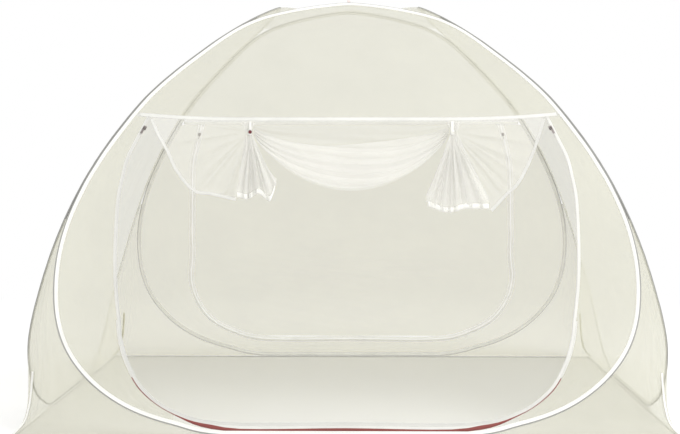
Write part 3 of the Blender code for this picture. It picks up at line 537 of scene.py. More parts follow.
def fine_edge(wall, coarse, straight_ends=True):
    """Places at fine steps along an edge; the two stretches beside the seam stay straight."""
    fine = []
    last = len(coarse) - 2
    for i in range(last + 1):
        a, b = coarse[i], coarse[i + 1]
        before, after = coarse[max(i - 1, 0)], coarse[min(i + 2, last + 1)]
        straight = straight_ends and i in (0, last)
        first, second = point_of(wall, a), point_of(wall, b)
        for k in range(fine_steps + (1 if i == last else 0)):
            t = k / fine_steps
            if straight:
                fine.append((a[0] + (b[0] - a[0]) * t, a[1] + (b[1] - a[1]) * t, first.lerp(second, t)))
            else:
                fine.append(spline(before[:2], a[:2], b[:2], after[:2], t))
    return fine


def point_of(wall, place):
    """The point at a place, which may hold its own."""
    return place[2].copy() if len(place) > 2 else wall.place(*place)


class Doorway:
    """The seam, the zip's line and the edges beside them on the front or the back wall."""

    def __init__(self, name, sag, inset, inset_shares):
        self.wall = wall = walls[name]
        self.sag = sag
        path = hoop_paths[name]
        self.grip = half_of(shifted(path, net_grip, True))
        leg_end = half_of(shifted(path, sleeve_leg + gap, True))
        middle = wall.rise_at(seam_height)
        self.tape_half = on_stretch(wall, leg_end, middle + seam_tape_width / 2)[0] - gap
        self.net_bottom = middle + seam_tape_width / 2 + gap
        top = on_stretch(wall, self.grip, self.net_bottom)
        self.half_width = top[0]
        self.seam_limit = middle - seam_tape_width / 2 - gap
        half = half_of(path)
        insets = [inset * eased(inset_shares, wall.height_at(rise) / hoop_height) for _, rise in half]
        insets += list(reversed(insets[1:-1]))
        line = half_of(shifted(path, insets, True))
        low = middle - sag - seam_tape_width / 2 - gap - zip_top_run
        self.last = [k for k, place in enumerate(line) if place[1] < low][-1]
        before, after = line[self.last], line[self.last + 1]
        across = after[0]
        for _ in range(4):
            limit = self.limit(across)
            across = before[0] + (after[0] - before[0]) * (limit - before[1]) / (after[1] - before[1])
        kept = line[: self.last + 1] + [(across, limit)]
        self.line = [(-x, rise) for x, rise in reversed(kept[1:])] + kept

    def limit(self, across):
        """Rise of the seam band's lower side."""
        return self.seam(across) - seam_tape_width / 2 - gap

    def seam(self, across):
        """Rise of the seam, which sags in the middle."""
        flat = self.half_width * seam_flat_share
        beyond = max(0.0, abs(across) - flat) / (self.half_width - flat)
        return self.wall.rise_at(seam_height) - self.sag * (1 - beyond * beyond)

    def zip_edge(self, inward):
        """An edge beside the zip at CAD corners, its ends brought to the seam's lower side."""
        trimmed = shifted(self.line, inward, False)
        for end, inner in ((0, 1), (-1, -2)):
            a, b = trimmed[inner], trimmed[end]
            limit = self.limit(b[0])
            t = (limit - a[1]) / (b[1] - a[1])
            trimmed[end] = (a[0] + (b[0] - a[0]) * t, limit)
        return trimmed

    def hoop_edge(self):
        """The edge that the hoop's tape holds, from seam to seam."""
        half = list(self.grip[: self.last + 1])
        half.append(on_stretch(self.wall, self.grip, self.seam_limit))
        return [mirrored_place(place) for place in reversed(half[1:])] + half


doorways = {
    "front": Doorway("front", front_seam_sag, front_zip_inset, front_inset_shares),
    "back": Doorway("back", 0.0, back_zip_inset, back_inset_shares),
}


def choose(piece):
    bpy.ops.object.select_all(action="DESELECT")
    piece.select_set(True)
    bpy.context.view_layer.objects.active = piece


def edit_mesh(piece, *steps):
    """Runs mesh operators, each with its values, on all faces of a piece."""
    choose(piece)
    bpy.ops.object.mode_set(mode="EDIT")
    bpy.ops.mesh.select_all(action="SELECT")
    for operator, values in steps:
        operator(**values)
    bpy.ops.object.mode_set(mode="OBJECT")


OUTWARD_NORMALS = (bpy.ops.mesh.normals_make_consistent, {"inside": False})


def laid_grid(name, columns, rows, place, uv_size, rolled=False):
    """A sheet from a grid: place(s, t) gives each point, and the UV map holds its size in metres."""
    bpy.ops.object.select_all(action="DESELECT")
    bpy.ops.mesh.primitive_grid_add(
        x_subdivisions=columns, y_subdivisions=rows, size=1.0, calc_uvs=True, location=(0, 0, 0)
    )
    piece = bpy.context.active_object
    piece.name = name
    piece.data.name = name
    for vertex in piece.data.vertices:
        vertex.co = place(vertex.co.x + 0.5, vertex.co.y + 0.5)
    for corner in piece.data.uv_layers.active.data:
        corner.uv = (corner.uv[0] * uv_size[0], corner.uv[1] * uv_size[1])
    if rolled:
        edit_mesh(piece, (bpy.ops.mesh.remove_doubles, {"threshold": same_place}), OUTWARD_NORMALS)
    choose(piece)
    bpy.ops.object.shade_smooth()
    return piece


def area_of(piece):
    return sum(face.area for face in piece.data.polygons)


def finish_piece(piece, material, body, slot, *nodes):
    """Gives a piece its material and body, and hides the CAD nodes that it replaces; the slot is not used."""
    piece.data.materials.clear()
    piece.data.materials.append(material)
    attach(piece, body)
    if nodes:
        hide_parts(*nodes)
    return piece


def net_sheet(name, columns, rows, place, uv_size, material, *nodes, body="tent", slot="net_white"):
    """A sheet of net from a grid, turned round where most of it faces the middle of the tent."""
    piece = laid_grid(name, columns, rows, place, uv_size)
    middle = Vector((0, 0, 0.45))
    if sum((face.center - middle).dot(face.normal) * face.area for face in piece.data.polygons) < 0:
        edit_mesh(piece, (bpy.ops.mesh.flip_normals, {}))
    return finish_piece(piece, material, body, slot, *nodes)


def soft_noise(a, b, seed):
    """Slow, smooth unevenness between -1 and 1."""
    value = math.sin(a * 1.7 + seed * 2.1) * math.cos(b * 1.3 + seed)
    value += 0.6 * math.sin(a * 3.1 - b * 2.3 + seed * 0.7)
    return (value + 0.35 * math.sin(a * 6.3 + b * 5.1 + seed * 1.9)) / 1.95


def settings(name):
    return getattr(bpy.context.scene, name)


def add_node(owner, kind, inputs=(), **values):
    """A node of a material or world; an input takes a value or another node's output."""
    tree = owner.node_tree
    node = tree.nodes.new(kind)
    for key, value in values.items():
        setattr(node, key, value)
    for socket, source in dict(inputs).items():
        if isinstance(source, bpy.types.NodeSocket):
            tree.links.new(source, node.inputs[socket])
        else:
            node.inputs[socket].default_value = source
    return node


def maths(owner, operation, *values):
    """The result of a sum on values or other nodes' outputs."""
    return add_node(owner, "ShaderNodeMath", enumerate(values), operation=operation).outputs[0]


def wave(owner, vector, direction, scale, distortion=0.0):
    inputs = {"Vector": vector, "Scale": scale, "Distortion": distortion}
    return add_node(owner, "ShaderNodeTexWave", inputs, bands_direction=direction).outputs["Fac"]


def scaled(colour, factor):
    return tuple(min(1.0, channel * factor) for channel in colour)


def mixed(owner, factor, tones, colour, darker):
    """Tones that give way to a darker tone of a colour."""
    inputs = {"Factor": factor, 6: tones, 7: (*scaled(colour, darker), 1.0)}
    return add_node(owner, "ShaderNodeMix", inputs, data_type="RGBA").outputs[2]


def tone(owner, vector, colour, dark, light, scale):
    """Slow change between a darker and a lighter tone of a colour."""
    noise = add_node(owner, "ShaderNodeTexNoise", {"Vector": vector, "Scale": scale, "Detail": 3.0})
    ramp = add_node(owner, "ShaderNodeValToRGB", {"Fac": noise.outputs["Fac"]})
    for k, (position, factor) in enumerate(((0.3, dark), (0.7, light))):
        ramp.color_ramp.elements[k].position = position
        ramp.color_ramp.elements[k].color = (*scaled(colour, factor), 1.0)
    return ramp.outputs["Color"]


def uv_parts(owner):
    """The object's places, the UV map, and the UV map's place across and along."""
    outputs = add_node(owner, "ShaderNodeTexCoord").outputs
    split = add_node(owner, "ShaderNodeSeparateXYZ", {"Vector": outputs["UV"]})
    return outputs["Object"], outputs["UV"], split.outputs["X"], split.outputs["Y"]


def finish(make):
    """For a function that fills a material's nodes: makes each named material once."""

    def named(name, *values, **options):
        material = bpy.data.materials.get(name)
        if material is None:
            material = bpy.data.materials.new(name)
            material.use_nodes = True
            make(material, material.node_tree.nodes["Principled BSDF"], *values, **options)
        return material

    return named


def close_shader(material, shader, tones, bump, values):
    """Links tones and a bump (height, strength, distance) to a shader and sets its values."""
    relief = add_node(material, "ShaderNodeBump", zip(("Height", "Strength", "Distance"), bump))
    material.node_tree.links.new(tones, shader.inputs["Base Color"])
    material.node_tree.links.new(relief.outputs["Normal"], shader.inputs["Normal"])
    for key, value in values.items():
        shader.inputs[key].default_value = value


@finish
def net_finish(material, shader, colour, cover, cell):
    """Fine hexagonal tulle: thread pattern as relief, plain cover as alpha."""
    here = add_node(material, "ShaderNodeTexCoord").outputs["Object"]
    inputs = {"Vector": here, "Scale": 1 / cell, "Randomness": 0.35}
    threads = add_node(material, "ShaderNodeTexVoronoi", inputs, feature="DISTANCE_TO_EDGE")
    tones = tone(material, here, colour, 0.965, 1.03, 5.0)
    values = {"Alpha": cover, "Roughness": 0.85, "Sheen Weight": 0.15, "Specular IOR Level": 0.25}
    close_shader(material, shader, tones, (threads.outputs["Distance"], 0.25, 0.0004), values)


@finish
def tape_finish(material, shader, colour, stitch, rows, wire=None, sheen=0.2):
    """Woven tape with lines of stitches; the UV map runs across (U) and along (V) in metres."""
    here, uv, across, along = uv_parts(material)

    def away_from(row):
        return maths(material, "ABSOLUTE", maths(material, "SUBTRACT", across, row))

    cloth = maths(material, "ADD", wave(material, uv, "Y", 260.0, 0.6), wave(material, uv, "X", 380.0))
    phase = maths(material, "MULTIPLY", along, 2 * math.pi / stitch)
    dash = maths(material, "GREATER_THAN", maths(material, "SINE", phase), -0.25)
    stitches = None
    for row in rows:
        near = maths(material, "LESS_THAN", away_from(row), stitch_half)
        line = maths(material, "MULTIPLY", near, dash)
        stitches = line if stitches is None else maths(material, "MAXIMUM", stitches, line)
    tones = tone(material, here, colour, 0.94, 1.03, 14.0)
    tones = mixed(material, stitches, tones, colour, 0.80)
    height = maths(material, "SUBTRACT", maths(material, "MULTIPLY", cloth, 0.12), stitches)
    # Painted shade along the tape's rounded fold: full darkness out to near, fading to none at far.
    if wire:
        fold, near, far, dark = wire
        inputs = {"Value": away_from(fold), "From Min": near, "From Max": far, "To Min": 1.0, "To Max": 0.0}
        shade = add_node(material, "ShaderNodeMapRange", inputs).outputs["Result"]
        tones = mixed(material, shade, tones, colour, dark)
    values = {"Roughness": 0.75, "Sheen Weight": sheen, "Specular IOR Level": 0.3}
    close_shader(material, shader, tones, (height, 0.5, 0.0004), values)


@finish
def coil_finish(material, shader, colour):
    """Zip tape with its coil: close notches along the edge and a fine weave on the tape."""
    here, uv, across, _ = uv_parts(material)
    coil = maths(material, "LESS_THAN", across, zip_chain_half + 0.0004)
    notch, weave = wave(material, uv, "Y", 105.0), wave(material, uv, "X", 300.0, 0.8)
    height = add_node(material, "ShaderNodeMix", {"Factor": coil, 2: weave, 3: notch}).outputs[0]
    strength = maths(material, "MULTIPLY_ADD", coil, 0.6, 0.15)
    tones = tone(material, here, colour, 0.95, 1.02, 11.0)
    tones = mixed(material, maths(material, "MULTIPLY", notch, coil), tones, colour, 0.86)
    values = {"Roughness": 0.6, "Specular IOR Level": 0.35}
    close_shader(material, shader, tones, (height, strength, 0.0007), values)


@finish
def metal_finish(material, shader, colour, roughness, metallic):
    here = add_node(material, "ShaderNodeTexCoord").outputs["Object"]
    noise = add_node(material, "ShaderNodeTexNoise", {"Vector": here, "Scale": 400.0, "Detail": 2.0})
    tones = tone(material, here, colour, 0.85, 1.1, 90.0)
    values = {"Roughness": roughness, "Metallic": metallic}
    close_shader(material, shader, tones, (noise.outputs["Fac"], 0.12, 0.0002), values)


def tulle(kind):
    """The walls' net: warmer and denser in the closed doorway, and halfway there in the side walls."""
    net = settings("net_tent_net")
    share = {"panel": 0.0, "side": 0.5, "doorway": 1.0}[kind]
    colour = tuple(a * (1 - share) + b * share for a, b in zip(net.colour, net.doorway_colour))
    cover = net.cover * (1 - share) + net.doorway_cover * share
    return net_finish(f"tulle_{kind}", colour, cover, net.cell)


def binding_tape(girth, wall_name):
    """The folded tape, with painted shade along its rounded fold, halfway round the section, where the wire
    lies inside.
    """
    binding = settings("net_tent_binding")
    kind = wall_name if wall_name in painted_fold_shades else "side"
    rows = (binding_stitch_inset, girth - binding_stitch_inset)
    wire = (girth / 2, *painted_fold_shades[kind])
    return tape_finish(f"{kind}_binding_tape", tuple(binding.colour), binding.stitch, rows, wire)


def tape_colour(kind):
    binding = settings("net_tent_binding")
    # Front tapes take the painted-shade colour, back tapes the painted-light colour.
    return tuple({"front": binding.front_shaded_colour, "back": binding.back_lit_colour}.get(kind, binding.colour))


def flat_tape(kind, width):
    """Flat tape with a line of stitches along each edge: woven, or in one doorway's zip colour."""
    rows = (tape_stitch_inset, width - tape_stitch_inset)
    name = f"{kind}_tape_{round(width * 1000)}"
    return tape_finish(name, tape_colour(kind), settings("net_tent_binding").stitch, rows)


def two_sided(upper):
    """A tape's whole section from its upper side, which the lower side mirrors."""
    return upper + [(u, -v) for u, v in reversed(upper) if v]


def flat_section(half, thick):
    """A flat tape's section from half its width and half its thickness."""
    upper = [(half, thick * 0.5), (half * 0.8, thick), (-half * 0.8, thick), (-half, thick * 0.5)]
    return upper + [(-half, -thick * 0.5), (half, -thick * 0.5)]


def swept_tape(name, line, profile, material, *nodes, body="tent", slot="binding_white", closed=False):
    """A tape of one section along a line; the profile is (sideways, out) and comes back on itself."""
    points, sideways, normals = line
    ring = profile + [profile[0]]
    girth = [0.0]
    for a, b in zip(ring, ring[1:]):
        girth.append(girth[-1] + math.dist(a, b))
    length = sum((b - a).length for a, b in zip(points, points[1:]))
    sides = len(profile)
    spans = len(points) if closed else len(points) - 1

    def place(s, t):
        u, v = ring[round(s * sides)]
        i = round(t * spans) % len(points)
        return points[i] + sideways[i] * u + normals[i] * v

    piece = laid_grid(name, sides, spans, place, (1.0, length), rolled=True)
    for corner in piece.data.uv_layers.active.data:
        corner.uv[0] = girth[round(corner.uv[0] * sides)]
    if not closed:
        edit_mesh(
            piece,
            (bpy.ops.mesh.select_all, {"action": "DESELECT"}),
            (bpy.ops.mesh.select_non_manifold, {}),
            (bpy.ops.mesh.fill_holes, {"sides": 0}),
            (bpy.ops.mesh.select_all, {"action": "SELECT"}),
            OUTWARD_NORMALS,
        )
    return finish_piece(piece, material, body, slot, *nodes)


def hoop_binding(wall_name):
    """The folded tape round one hoop's wire, with the net's edge in its mouth."""
    wall = walls[wall_name]
    path = fine_paths[wall_name]
    points, sideways, normals = [], [], []
    for k, (place, inner) in enumerate(zip(path, shifted(path, 4 * MM, True))):
        point, normal = wall.place(*place), wall.normal(place[1])
        points.append(point + normal * binding_pucker * soft_noise(k * 0.9, k * 0.37, 2.0))
        sideways.append((wall.place(*inner) - point).normalized())
        normals.append(normal)
    mouth = sleeve_mouth / 2 + sleeve_wall
    profile = [(sleeve_leg, mouth), (sleeve_leg * 0.55, mouth * 1.15)]
    for step in range(11):
        angle = math.radians(50 + 26 * step)
        profile.append((sleeve_reach * 1.02 * math.cos(angle), sleeve_reach * 1.02 * math.sin(angle)))
    profile += [(sleeve_leg * 0.55, -mouth * 1.15), (sleeve_leg, -mouth)]
    girth = sum(math.dist(a, b) for a, b in zip(profile, profile[1:]))
    line = points, sideways, normals
    material = binding_tape(girth, wall_name)
    swept_tape(f"{wall_name}_binding", line, profile, material, f"{wall_name}_hoop_sleeve", closed=True)


def declare_panel(piece, width, length, trims=(), held="stretched"):
    """Works out a panel's flat size and area and goes through its trims, but keeps none of them."""
    flat, area = (round(width, 3), round(length, 3)), round(area_of(piece), 4)
    list(trims)


def net_edge(wall_name):
    """Right half of the net's edge in its hoop's tape."""
    return half_of(shifted(fine_paths[wall_name], net_grip, True))


def side_panel(wall_name):
    """The left or right wall: one taut sheet inside its hoop."""
    wall = walls[wall_name]
    wrinkle = settings("net_tent_net").wrinkle
    edge = net_edge(wall_name)
    edge = [place for place in edge if place[1] > edge[0][1] + level_step or place[0] > 0.3]
    rows = len(edge) - 1

    def place(s, t):
        across, rise = edge[round(t * rows)]
        beside = abs(2 * s - 1)
        fade = math.sin(math.pi * t) ** 0.5 * (1 - beside ** 3)
        out = wrinkle * fade * (soft_noise(s * 9, t * 11, 1.0) + 1.2 * soft_noise(s * 34 + 5 * t, t * 5, 4.0))
        near_edge = math.exp(-(((1 - beside) / 0.10) ** 2))
        folded = wrinkle * 1.6 * near_edge * math.sin(t * 70) * math.sin(math.pi * t)
        return wall.place(across * (2 * s - 1), rise, out - abs(folded) * 0.4)

    width, length = 2 * max(across for across, _ in edge), edge[-1][1] - edge[0][1]
    name, node = f"{wall_name}_panel", f"{wall_name}_wall_net"
    return net_sheet(name, 72, rows, place, (width, length), tulle("side"), node), width, length


def band_of(name, wall, first, second, columns, wrinkle, seed, material, node, slot="net_white", strip=None):
    """A sheet between two edges with places at the same steps.

    A strip gives the first columns a width of their own.
    """
    rows = len(first) - 1

    def place(s, t):
        i = round(t * rows)
        a, b = first[i], second[i]
        start, end = point_of(wall, a), point_of(wall, b)
        if strip:
            part = rose_columns / columns
            cut = min(eased(strip, abs(start.x)) / (end - start).length, 0.9)
            s = cut * s / part if s < part else cut + (1 - cut) * (s - part) / (1 - part)
        middle = (a[0] + (b[0] - a[0]) * s, a[1] + (b[1] - a[1]) * s)
        point = start.lerp(end, s) if len(a) > 2 or len(b) > 2 else wall.place(*middle)
        if wrinkle and 0 < s < 1:
            fade = math.sin(math.pi * s) * min(1.0, 12 * t * (1 - t) + 0.1)
            crease = soft_noise(s * 6 + seed, t * 26, seed)
            crease += 0.8 * soft_noise(s * 19 + t * 9, t * 17, seed + 2)
            point += wall.normal(max(middle[1], 0.001)) * wrinkle * fade * crease
        return point

    starts, ends = ([point_of(wall, place) for place in edge] for edge in (first, second))
    width = max((a - b).length for a, b in zip(starts, ends))
    length = sum((b - a).length for a, b in zip(starts, starts[1:]))
    return net_sheet(name, columns, rows, place, (width, length), material, node, slot=slot), width, length


def upper_panel(wall_name):
    """From the seam up to the top of the hoop."""
    wall = walls[wall_name]
    door = doorways[wall_name]
    edge = net_edge(wall_name)
    right = [(door.half_width, door.net_bottom)]
    right += [place for place in edge if place[1] > door.net_bottom + 0.001]
    columns = 2 * (len(right) - 1)
    tops = right + [(-across, rise) for across, rise in reversed(right[:-1])]
    wrinkle = settings("net_tent_net").wrinkle

    def place(s, t):
        across, high = tops[round(s * columns)]
        low = min(high, door.seam(across) + seam_tape_width / 2 + gap)
        fade = math.sin(math.pi * t) * min(1.0, 8 * s * (1 - s))
        drawn = math.exp(-t * 9) * math.sin(s * 96 + 2 * math.sin(s * 17)) * min(1.0, t * 20)
        out = wrinkle * (fade * soft_noise(s * 10, t * 6, 4.0) + 0.9 * drawn)
        return wall.place(across, low + (high - low) * t, out)

    width = 2 * door.half_width
    name, node = f"{wall_name}_upper_panel", f"{wall_name}_upper_net"
    piece = net_sheet(name, columns, 30, place, (width, 0.5), tulle("panel"), node)
    return piece, width, edge[-1][1] - door.net_bottom


def seam_band(wall_name):
    """The folded band that the door hangs from, a little puckered by its stitches."""
    wall = walls[wall_name]
    door = doorways[wall_name]
    points, sideways, normals = [], [], []
    for k in range(seam_steps + 1):
        across = door.tape_half * (2 * k / seam_steps - 1)
        rise = door.seam(across)
        points.append(wall.place(across, rise, seam_pucker * math.sin(k * 1.9) * math.sin(k * 0.43)))
        sideways.append((wall.place(across, rise + 0.002) - wall.place(across, rise)).normalized())
        normals.append(wall.normal(rise))
    half, thick = seam_tape_width / 2, seam_tape_thickness / 2
    rim = thick * 0.6
    profile = [(half, rim), (half * 0.8, thick), (half * 0.1, thick * 0.75), (-half * 0.8, thick)]
    profile += [(-half, rim), (-half, -rim), (-half * 0.8, -thick), (half * 0.8, -thick), (half, -rim)]
    line = points, sideways, normals
    material = flat_tape(wall_name, seam_tape_width)
    swept_tape(f"{wall_name}_seam_band", line, profile, material, f"{wall_name}_door_seam_tape")


def zip_piece(name, wall_name, side, node):
    """One half of a zip: a woven tape with the coil along its inner edge."""
    door = doorways[wall_name]
    wall = door.wall
    near = slider_post / 2 + gap
    edges = (fine_edge(wall, door.zip_edge(side * inward)) for inward in (near, zip_tape_width))
    points, sideways, normals = [], [], []
    for a, b in zip(*edges):
        start, end = point_of(wall, a), point_of(wall, b)
        points.append(start)
        sideways.append((end - start).normalized())
        normals.append(wall.normal(a[1]))
    reach = zip_tape_width - near
    chain, tape = zip_chain_thickness / 2, zip_tape_thickness / 2
    upper = [(0.0, chain * 0.5), (bead_edge, chain), (bead_end, chain)]
    upper += [(zip_chain_half, tape), (reach * 0.95, tape), (reach, 0.0)]
    material = coil_finish(f"{wall_name}_zip_coil", tape_colour(wall_name))
    swept_tape(name, (points, sideways, normals), two_sided(upper), material, node, slot="zip_white")


def surround(wall_name):
    """The net beside the door: a closed U at the back, two side pieces at the front."""
    door = doorways[wall_name]
    wall = door.wall
    outer = fine_edge(wall, door.hoop_edge())
    beside_zip = door.zip_edge(-zip_tape_width - gap)
    inner = fine_edge(wall, beside_zip)
    wrinkle = settings("net_tent_net").wrinkle
    if wall_name == "back":
        name, node = "back_surround", "back_surround_net"
        return [band_of(name, wall, outer, inner, 12, wrinkle, 2.0, tulle("doorway"), node)]
    clear = fine_edge(wall, shifted(beside_zip, -band_edge_width - gap, False), False)
    middle = len(outer) // 2
    start, band_end = middle + 2 * fine_steps, middle + band_steps * fine_steps + 1
    first, second = outer[start:], clear[start:band_end] + inner[band_end:]
    made = []
    for hand, seed in (("right", 4.0), ("left", 2.0)):
        if hand == "left":
            first, second = ([mirrored_place(place) for place in edge] for edge in (first, second))
        name, node = f"front_{hand}_panel", f"front_{hand}_net"
        made.append(band_of(name, wall, first, second, 12, wrinkle, seed, tulle("panel"), node))
    return made


def threshold():
    """The band along the doorway's foot, between the hoop's tape and the zip, rose at its outer side."""
    door = doorways["front"]
    wall = door.wall
    middle = len(door.line) // 2
    inner = door.zip_edge(-zip_tape_width - gap)[middle - band_steps : middle + band_steps + 1]
    legs = half_of(shifted(hoop_paths["front"], sleeve_leg + gap, True))[: band_steps + 1]
    legs = [(-x, rise) for x, rise in reversed(legs[1:])] + legs
    widths = []
    for k, (place, leg) in enumerate(zip(inner, legs)):
        space = math.dist(place, leg)
        widths.append(space if abs(k - band_steps) < 2 else min(space, band_edge_width))
    outer = shifted(inner, [-width for width in widths], False)
    for k in (band_steps - 1, band_steps, band_steps + 1):
        outer[k] = legs[k]
    first, second = fine_edge(wall, outer, False), fine_edge(wall, inner, False)
    binding = settings("net_tent_binding")
    material = tape_finish("rose_tape", tuple(binding.band_colour), binding.stitch, (0.002,), sheen=0.0)
    name, node, columns = "threshold_band", "front_threshold_band", 6
    piece, width, _ = band_of(
        name, wall, first, second, columns, 0, 0.0, material, node, slot="rose_band", strip=rose_shares
    )
    solid = piece.modifiers.new("thickness", "SOLIDIFY")
    solid.thickness = band_thickness
    solid.offset = 0.0
    choose(piece)
    bpy.ops.object.modifier_apply(modifier=solid.name)
    piece.data.materials.append(flat_tape("front", band_edge_width))
    corners = piece.data.uv_layers.active.data
    for face in piece.data.polygons:
        share = sum(corners[loop].uv.x for loop in face.loop_indices) / len(face.loop_indices) / width
        if share > rose_columns / columns or face.center.z > rose_height:
            face.material_index = 1


def back_door():
    """The closed door, one sheet inside the back zip."""
    door = doorways["back"]
    wall = door.wall
    edge = fine_edge(wall, door.zip_edge(zip_tape_width + gap))
    middle = len(edge) // 2
    right = edge[middle:]
    left = list(reversed(edge[: middle + 1]))
    keep = [k for k, place in enumerate(right) if k == len(right) - 1 or place[0] > 0.35]
    left, right = ([side[k] for k in keep] for side in (left, right))
    wrinkle = settings("net_tent_net").wrinkle * 1.3
    return band_of("back_door", wall, left, right, 64, wrinkle, 5.0, tulle("doorway"), "back_door_net")


def hoop_side(wall_name, index, sign):
    """A point on the outer side of a hoop's tape."""
    across, rise = shifted(hoop_paths[wall_name], -(sleeve_reach + gap), True)[index]
    return walls[wall_name].place(sign * across, rise)


def corner_station(end_name, side_name, x_sign, y_sign, step):
    """The two hoops' outer sides and the corner's edge between them, at one step of their outlines."""
    start, end = hoop_side(end_name, step, x_sign), hoop_side(side_name, step, y_sign)
    height = (start.z + end.z) / 2
    if step == 1:
        start.z = end.z = height = corner_foot
    hollow = corner_hollow_share * math.sin(math.pi * ((step - 1) / (corner_steps - 1)))
    across = x_sign * (side_reach(height) - corner_inset)
    along = y_sign * (end_reach(height) - corner_inset)
    edge = Vector((across, along, height))
    return start, end, edge.lerp((start + end) / 2, hollow)


def corner_weight(climb):
    """How sharp the corner's edge is: sharp at the foot, soft higher up."""
    return 1 + 40 * (1 - climb) ** 6


def corner_panel(end_name, side_name, x_sign, y_sign):
    """Loose net from the end hoop round the base corner to the side hoop, creased towards the corner."""
    stations = [corner_station(end_name, side_name, x_sign, y_sign, step) for step in range(1, corner_steps)]
    starts, ends, edges = ([tuple(station[k]) for station in stations] for k in range(3))
    creases = abs(settings("net_tent_net").corner_wrinkle)
    seed = 1.5 + x_sign + 0.7 * y_sign

    def place(s, t):
        start, end, edge = (Vector(curve_through(points, t)) for points in (starts, ends, edges))
        weight = corner_weight(t * (corner_steps - 2) / (corner_steps - 1))
        shares = ((1 - s) ** 2, 2 * weight * s * (1 - s), s * s)
        point = (start * shares[0] + edge * shares[1] + end * shares[2]) / sum(shares)
        if 0 < s < 1 and t > 0:
            fade = math.sin(math.pi * s) ** 0.6 * math.sin(math.pi * min(1.0, t * 1.02)) ** 0.7
            fan = math.sin((s - 0.5) * 34 + 5 * t + seed) + 0.6 * math.sin((s - 0.5) * 71 - 7 * t + 2 * seed)
            depth = -creases * fade * (0.55 + 0.32 * fan + 0.3 * soft_noise(s * 8, t * 9, seed))
            point += Vector((x_sign, y_sign, 0)).normalized() * depth
        return point

    name = f"{end_name}_{side_name}_corner"
    material = tulle("doorway" if end_name == "back" else "panel")
    return net_sheet(name, 54, 60, place, (0.6, 0.66), material, f"{name}_net")


def corner_strap(end_name, side_name, x_sign, y_sign):
    """Short webbing on the corner's edge."""
    diagonal = Vector((x_sign, y_sign, 0)).normalized()
    coarse = []
    for step in range(1, corner_tape_steps + 1):
        start, end, edge = corner_station(end_name, side_name, x_sign, y_sign, step)
        if step > 1:
            weight = corner_weight((step - 1) / (corner_steps - 1))
            edge = (start * 0.25 + edge * 0.5 * weight + end * 0.25) / (0.5 + 0.5 * weight)
        coarse.append(tuple(edge + diagonal * strap_set_off))
    points = [Vector(curve_through(coarse, k / strap_steps)) for k in range(strap_steps + 1)]
    sideways = [Vector((-y_sign, x_sign, 0)).normalized()] * len(points)
    line = points, sideways, [diagonal] * len(points)
    profile = flat_section(corner_tape_width / 2, strap_half)
    name = f"{end_name}_{side_name}"
    swept_tape(f"{name}_strap", line, profile, flat_tape("woven", corner_tape_width), f"{name}_corner_tape")


def crown_line(wall_name):
    """The top of a hoop's tape, where the roof patch is sewn on."""
    path = shifted(fine_paths[wall_name], -(sleeve_reach + gap), True)
    ridge_end = corner_steps + ridge_steps
    half = path[(ridge_end + 1) * fine_steps : (ridge_end + crown_steps) * fine_steps + 1]
    whole = half + [(-across, rise) for across, rise in reversed(half[:-1])]
    return [walls[wall_name].place(*place) for place in reversed(whole)]


def roof_panel():
    """The patch between the four crowns."""
    lines = {name: crown_line(name) for name in walls}
    corners = {}
    for end_name, side_name, x_sign, y_sign in CORNERS:
        i, j = -(x_sign > 0), -(y_sign > 0)
        corner = (lines[end_name][i] + lines[side_name][j]) / 2
        corners[end_name, side_name] = lines[end_name][i] = lines[side_name][j] = corner
    count = len(lines["front"])
    grid = []
    for j in range(count):
        v = j / (count - 1)
        row = []
        for i in range(count):
            u = i / (count - 1)
            across = lines["front"][i].lerp(lines["back"][i], v)
            along = lines["left"][j].lerp(lines["right"][j], u)
            near, far = (corners[end, "left"].lerp(corners[end, "right"], u) for end in ("front", "back"))
            row.append(across + along - near.lerp(far, v))
        grid.append(row)
    step = fine_steps
    coarse = range(0, count, step)
    levels = {(j, i): grid[j][i].z for j in coarse for i in coarse}
    inside = list(coarse)[1:-1]
    for _ in range(60):
        settled = {}
        for j in inside:
            for i in inside:
                beside = levels[j - step, i] + levels[j + step, i] + levels[j, i - step] + levels[j, i + step]
                settled[j, i] = beside / 4
        levels.update(settled)
    lift = {(j, i): levels[j, i] - grid[j][i].z for j in coarse for i in coarse}
    sag = settings("net_tent_net").wrinkle

    def place(s, t):
        j, i = t * (count - 1), s * (count - 1)
        point = grid[round(j)][round(i)].copy()
        j0, i0 = (min(int(index / step), len(inside)) * step for index in (j, i))
        v, u = (j - j0) / step, (i - i0) / step
        near, far = (lift[row, i0] * (1 - u) + lift[row, i0 + step] * u for row in (j0, j0 + step))
        point.z += near * (1 - v) + far * v
        fade = 16 * s * (1 - s) * t * (1 - t)
        point.z += -roof_sag * fade + sag * fade * soft_noise(s * 8, t * 8, 6.0)
        return point

    return net_sheet("roof_panel", count - 1, count - 1, place, (0.62, 0.43), tulle("panel"), "roof_net")


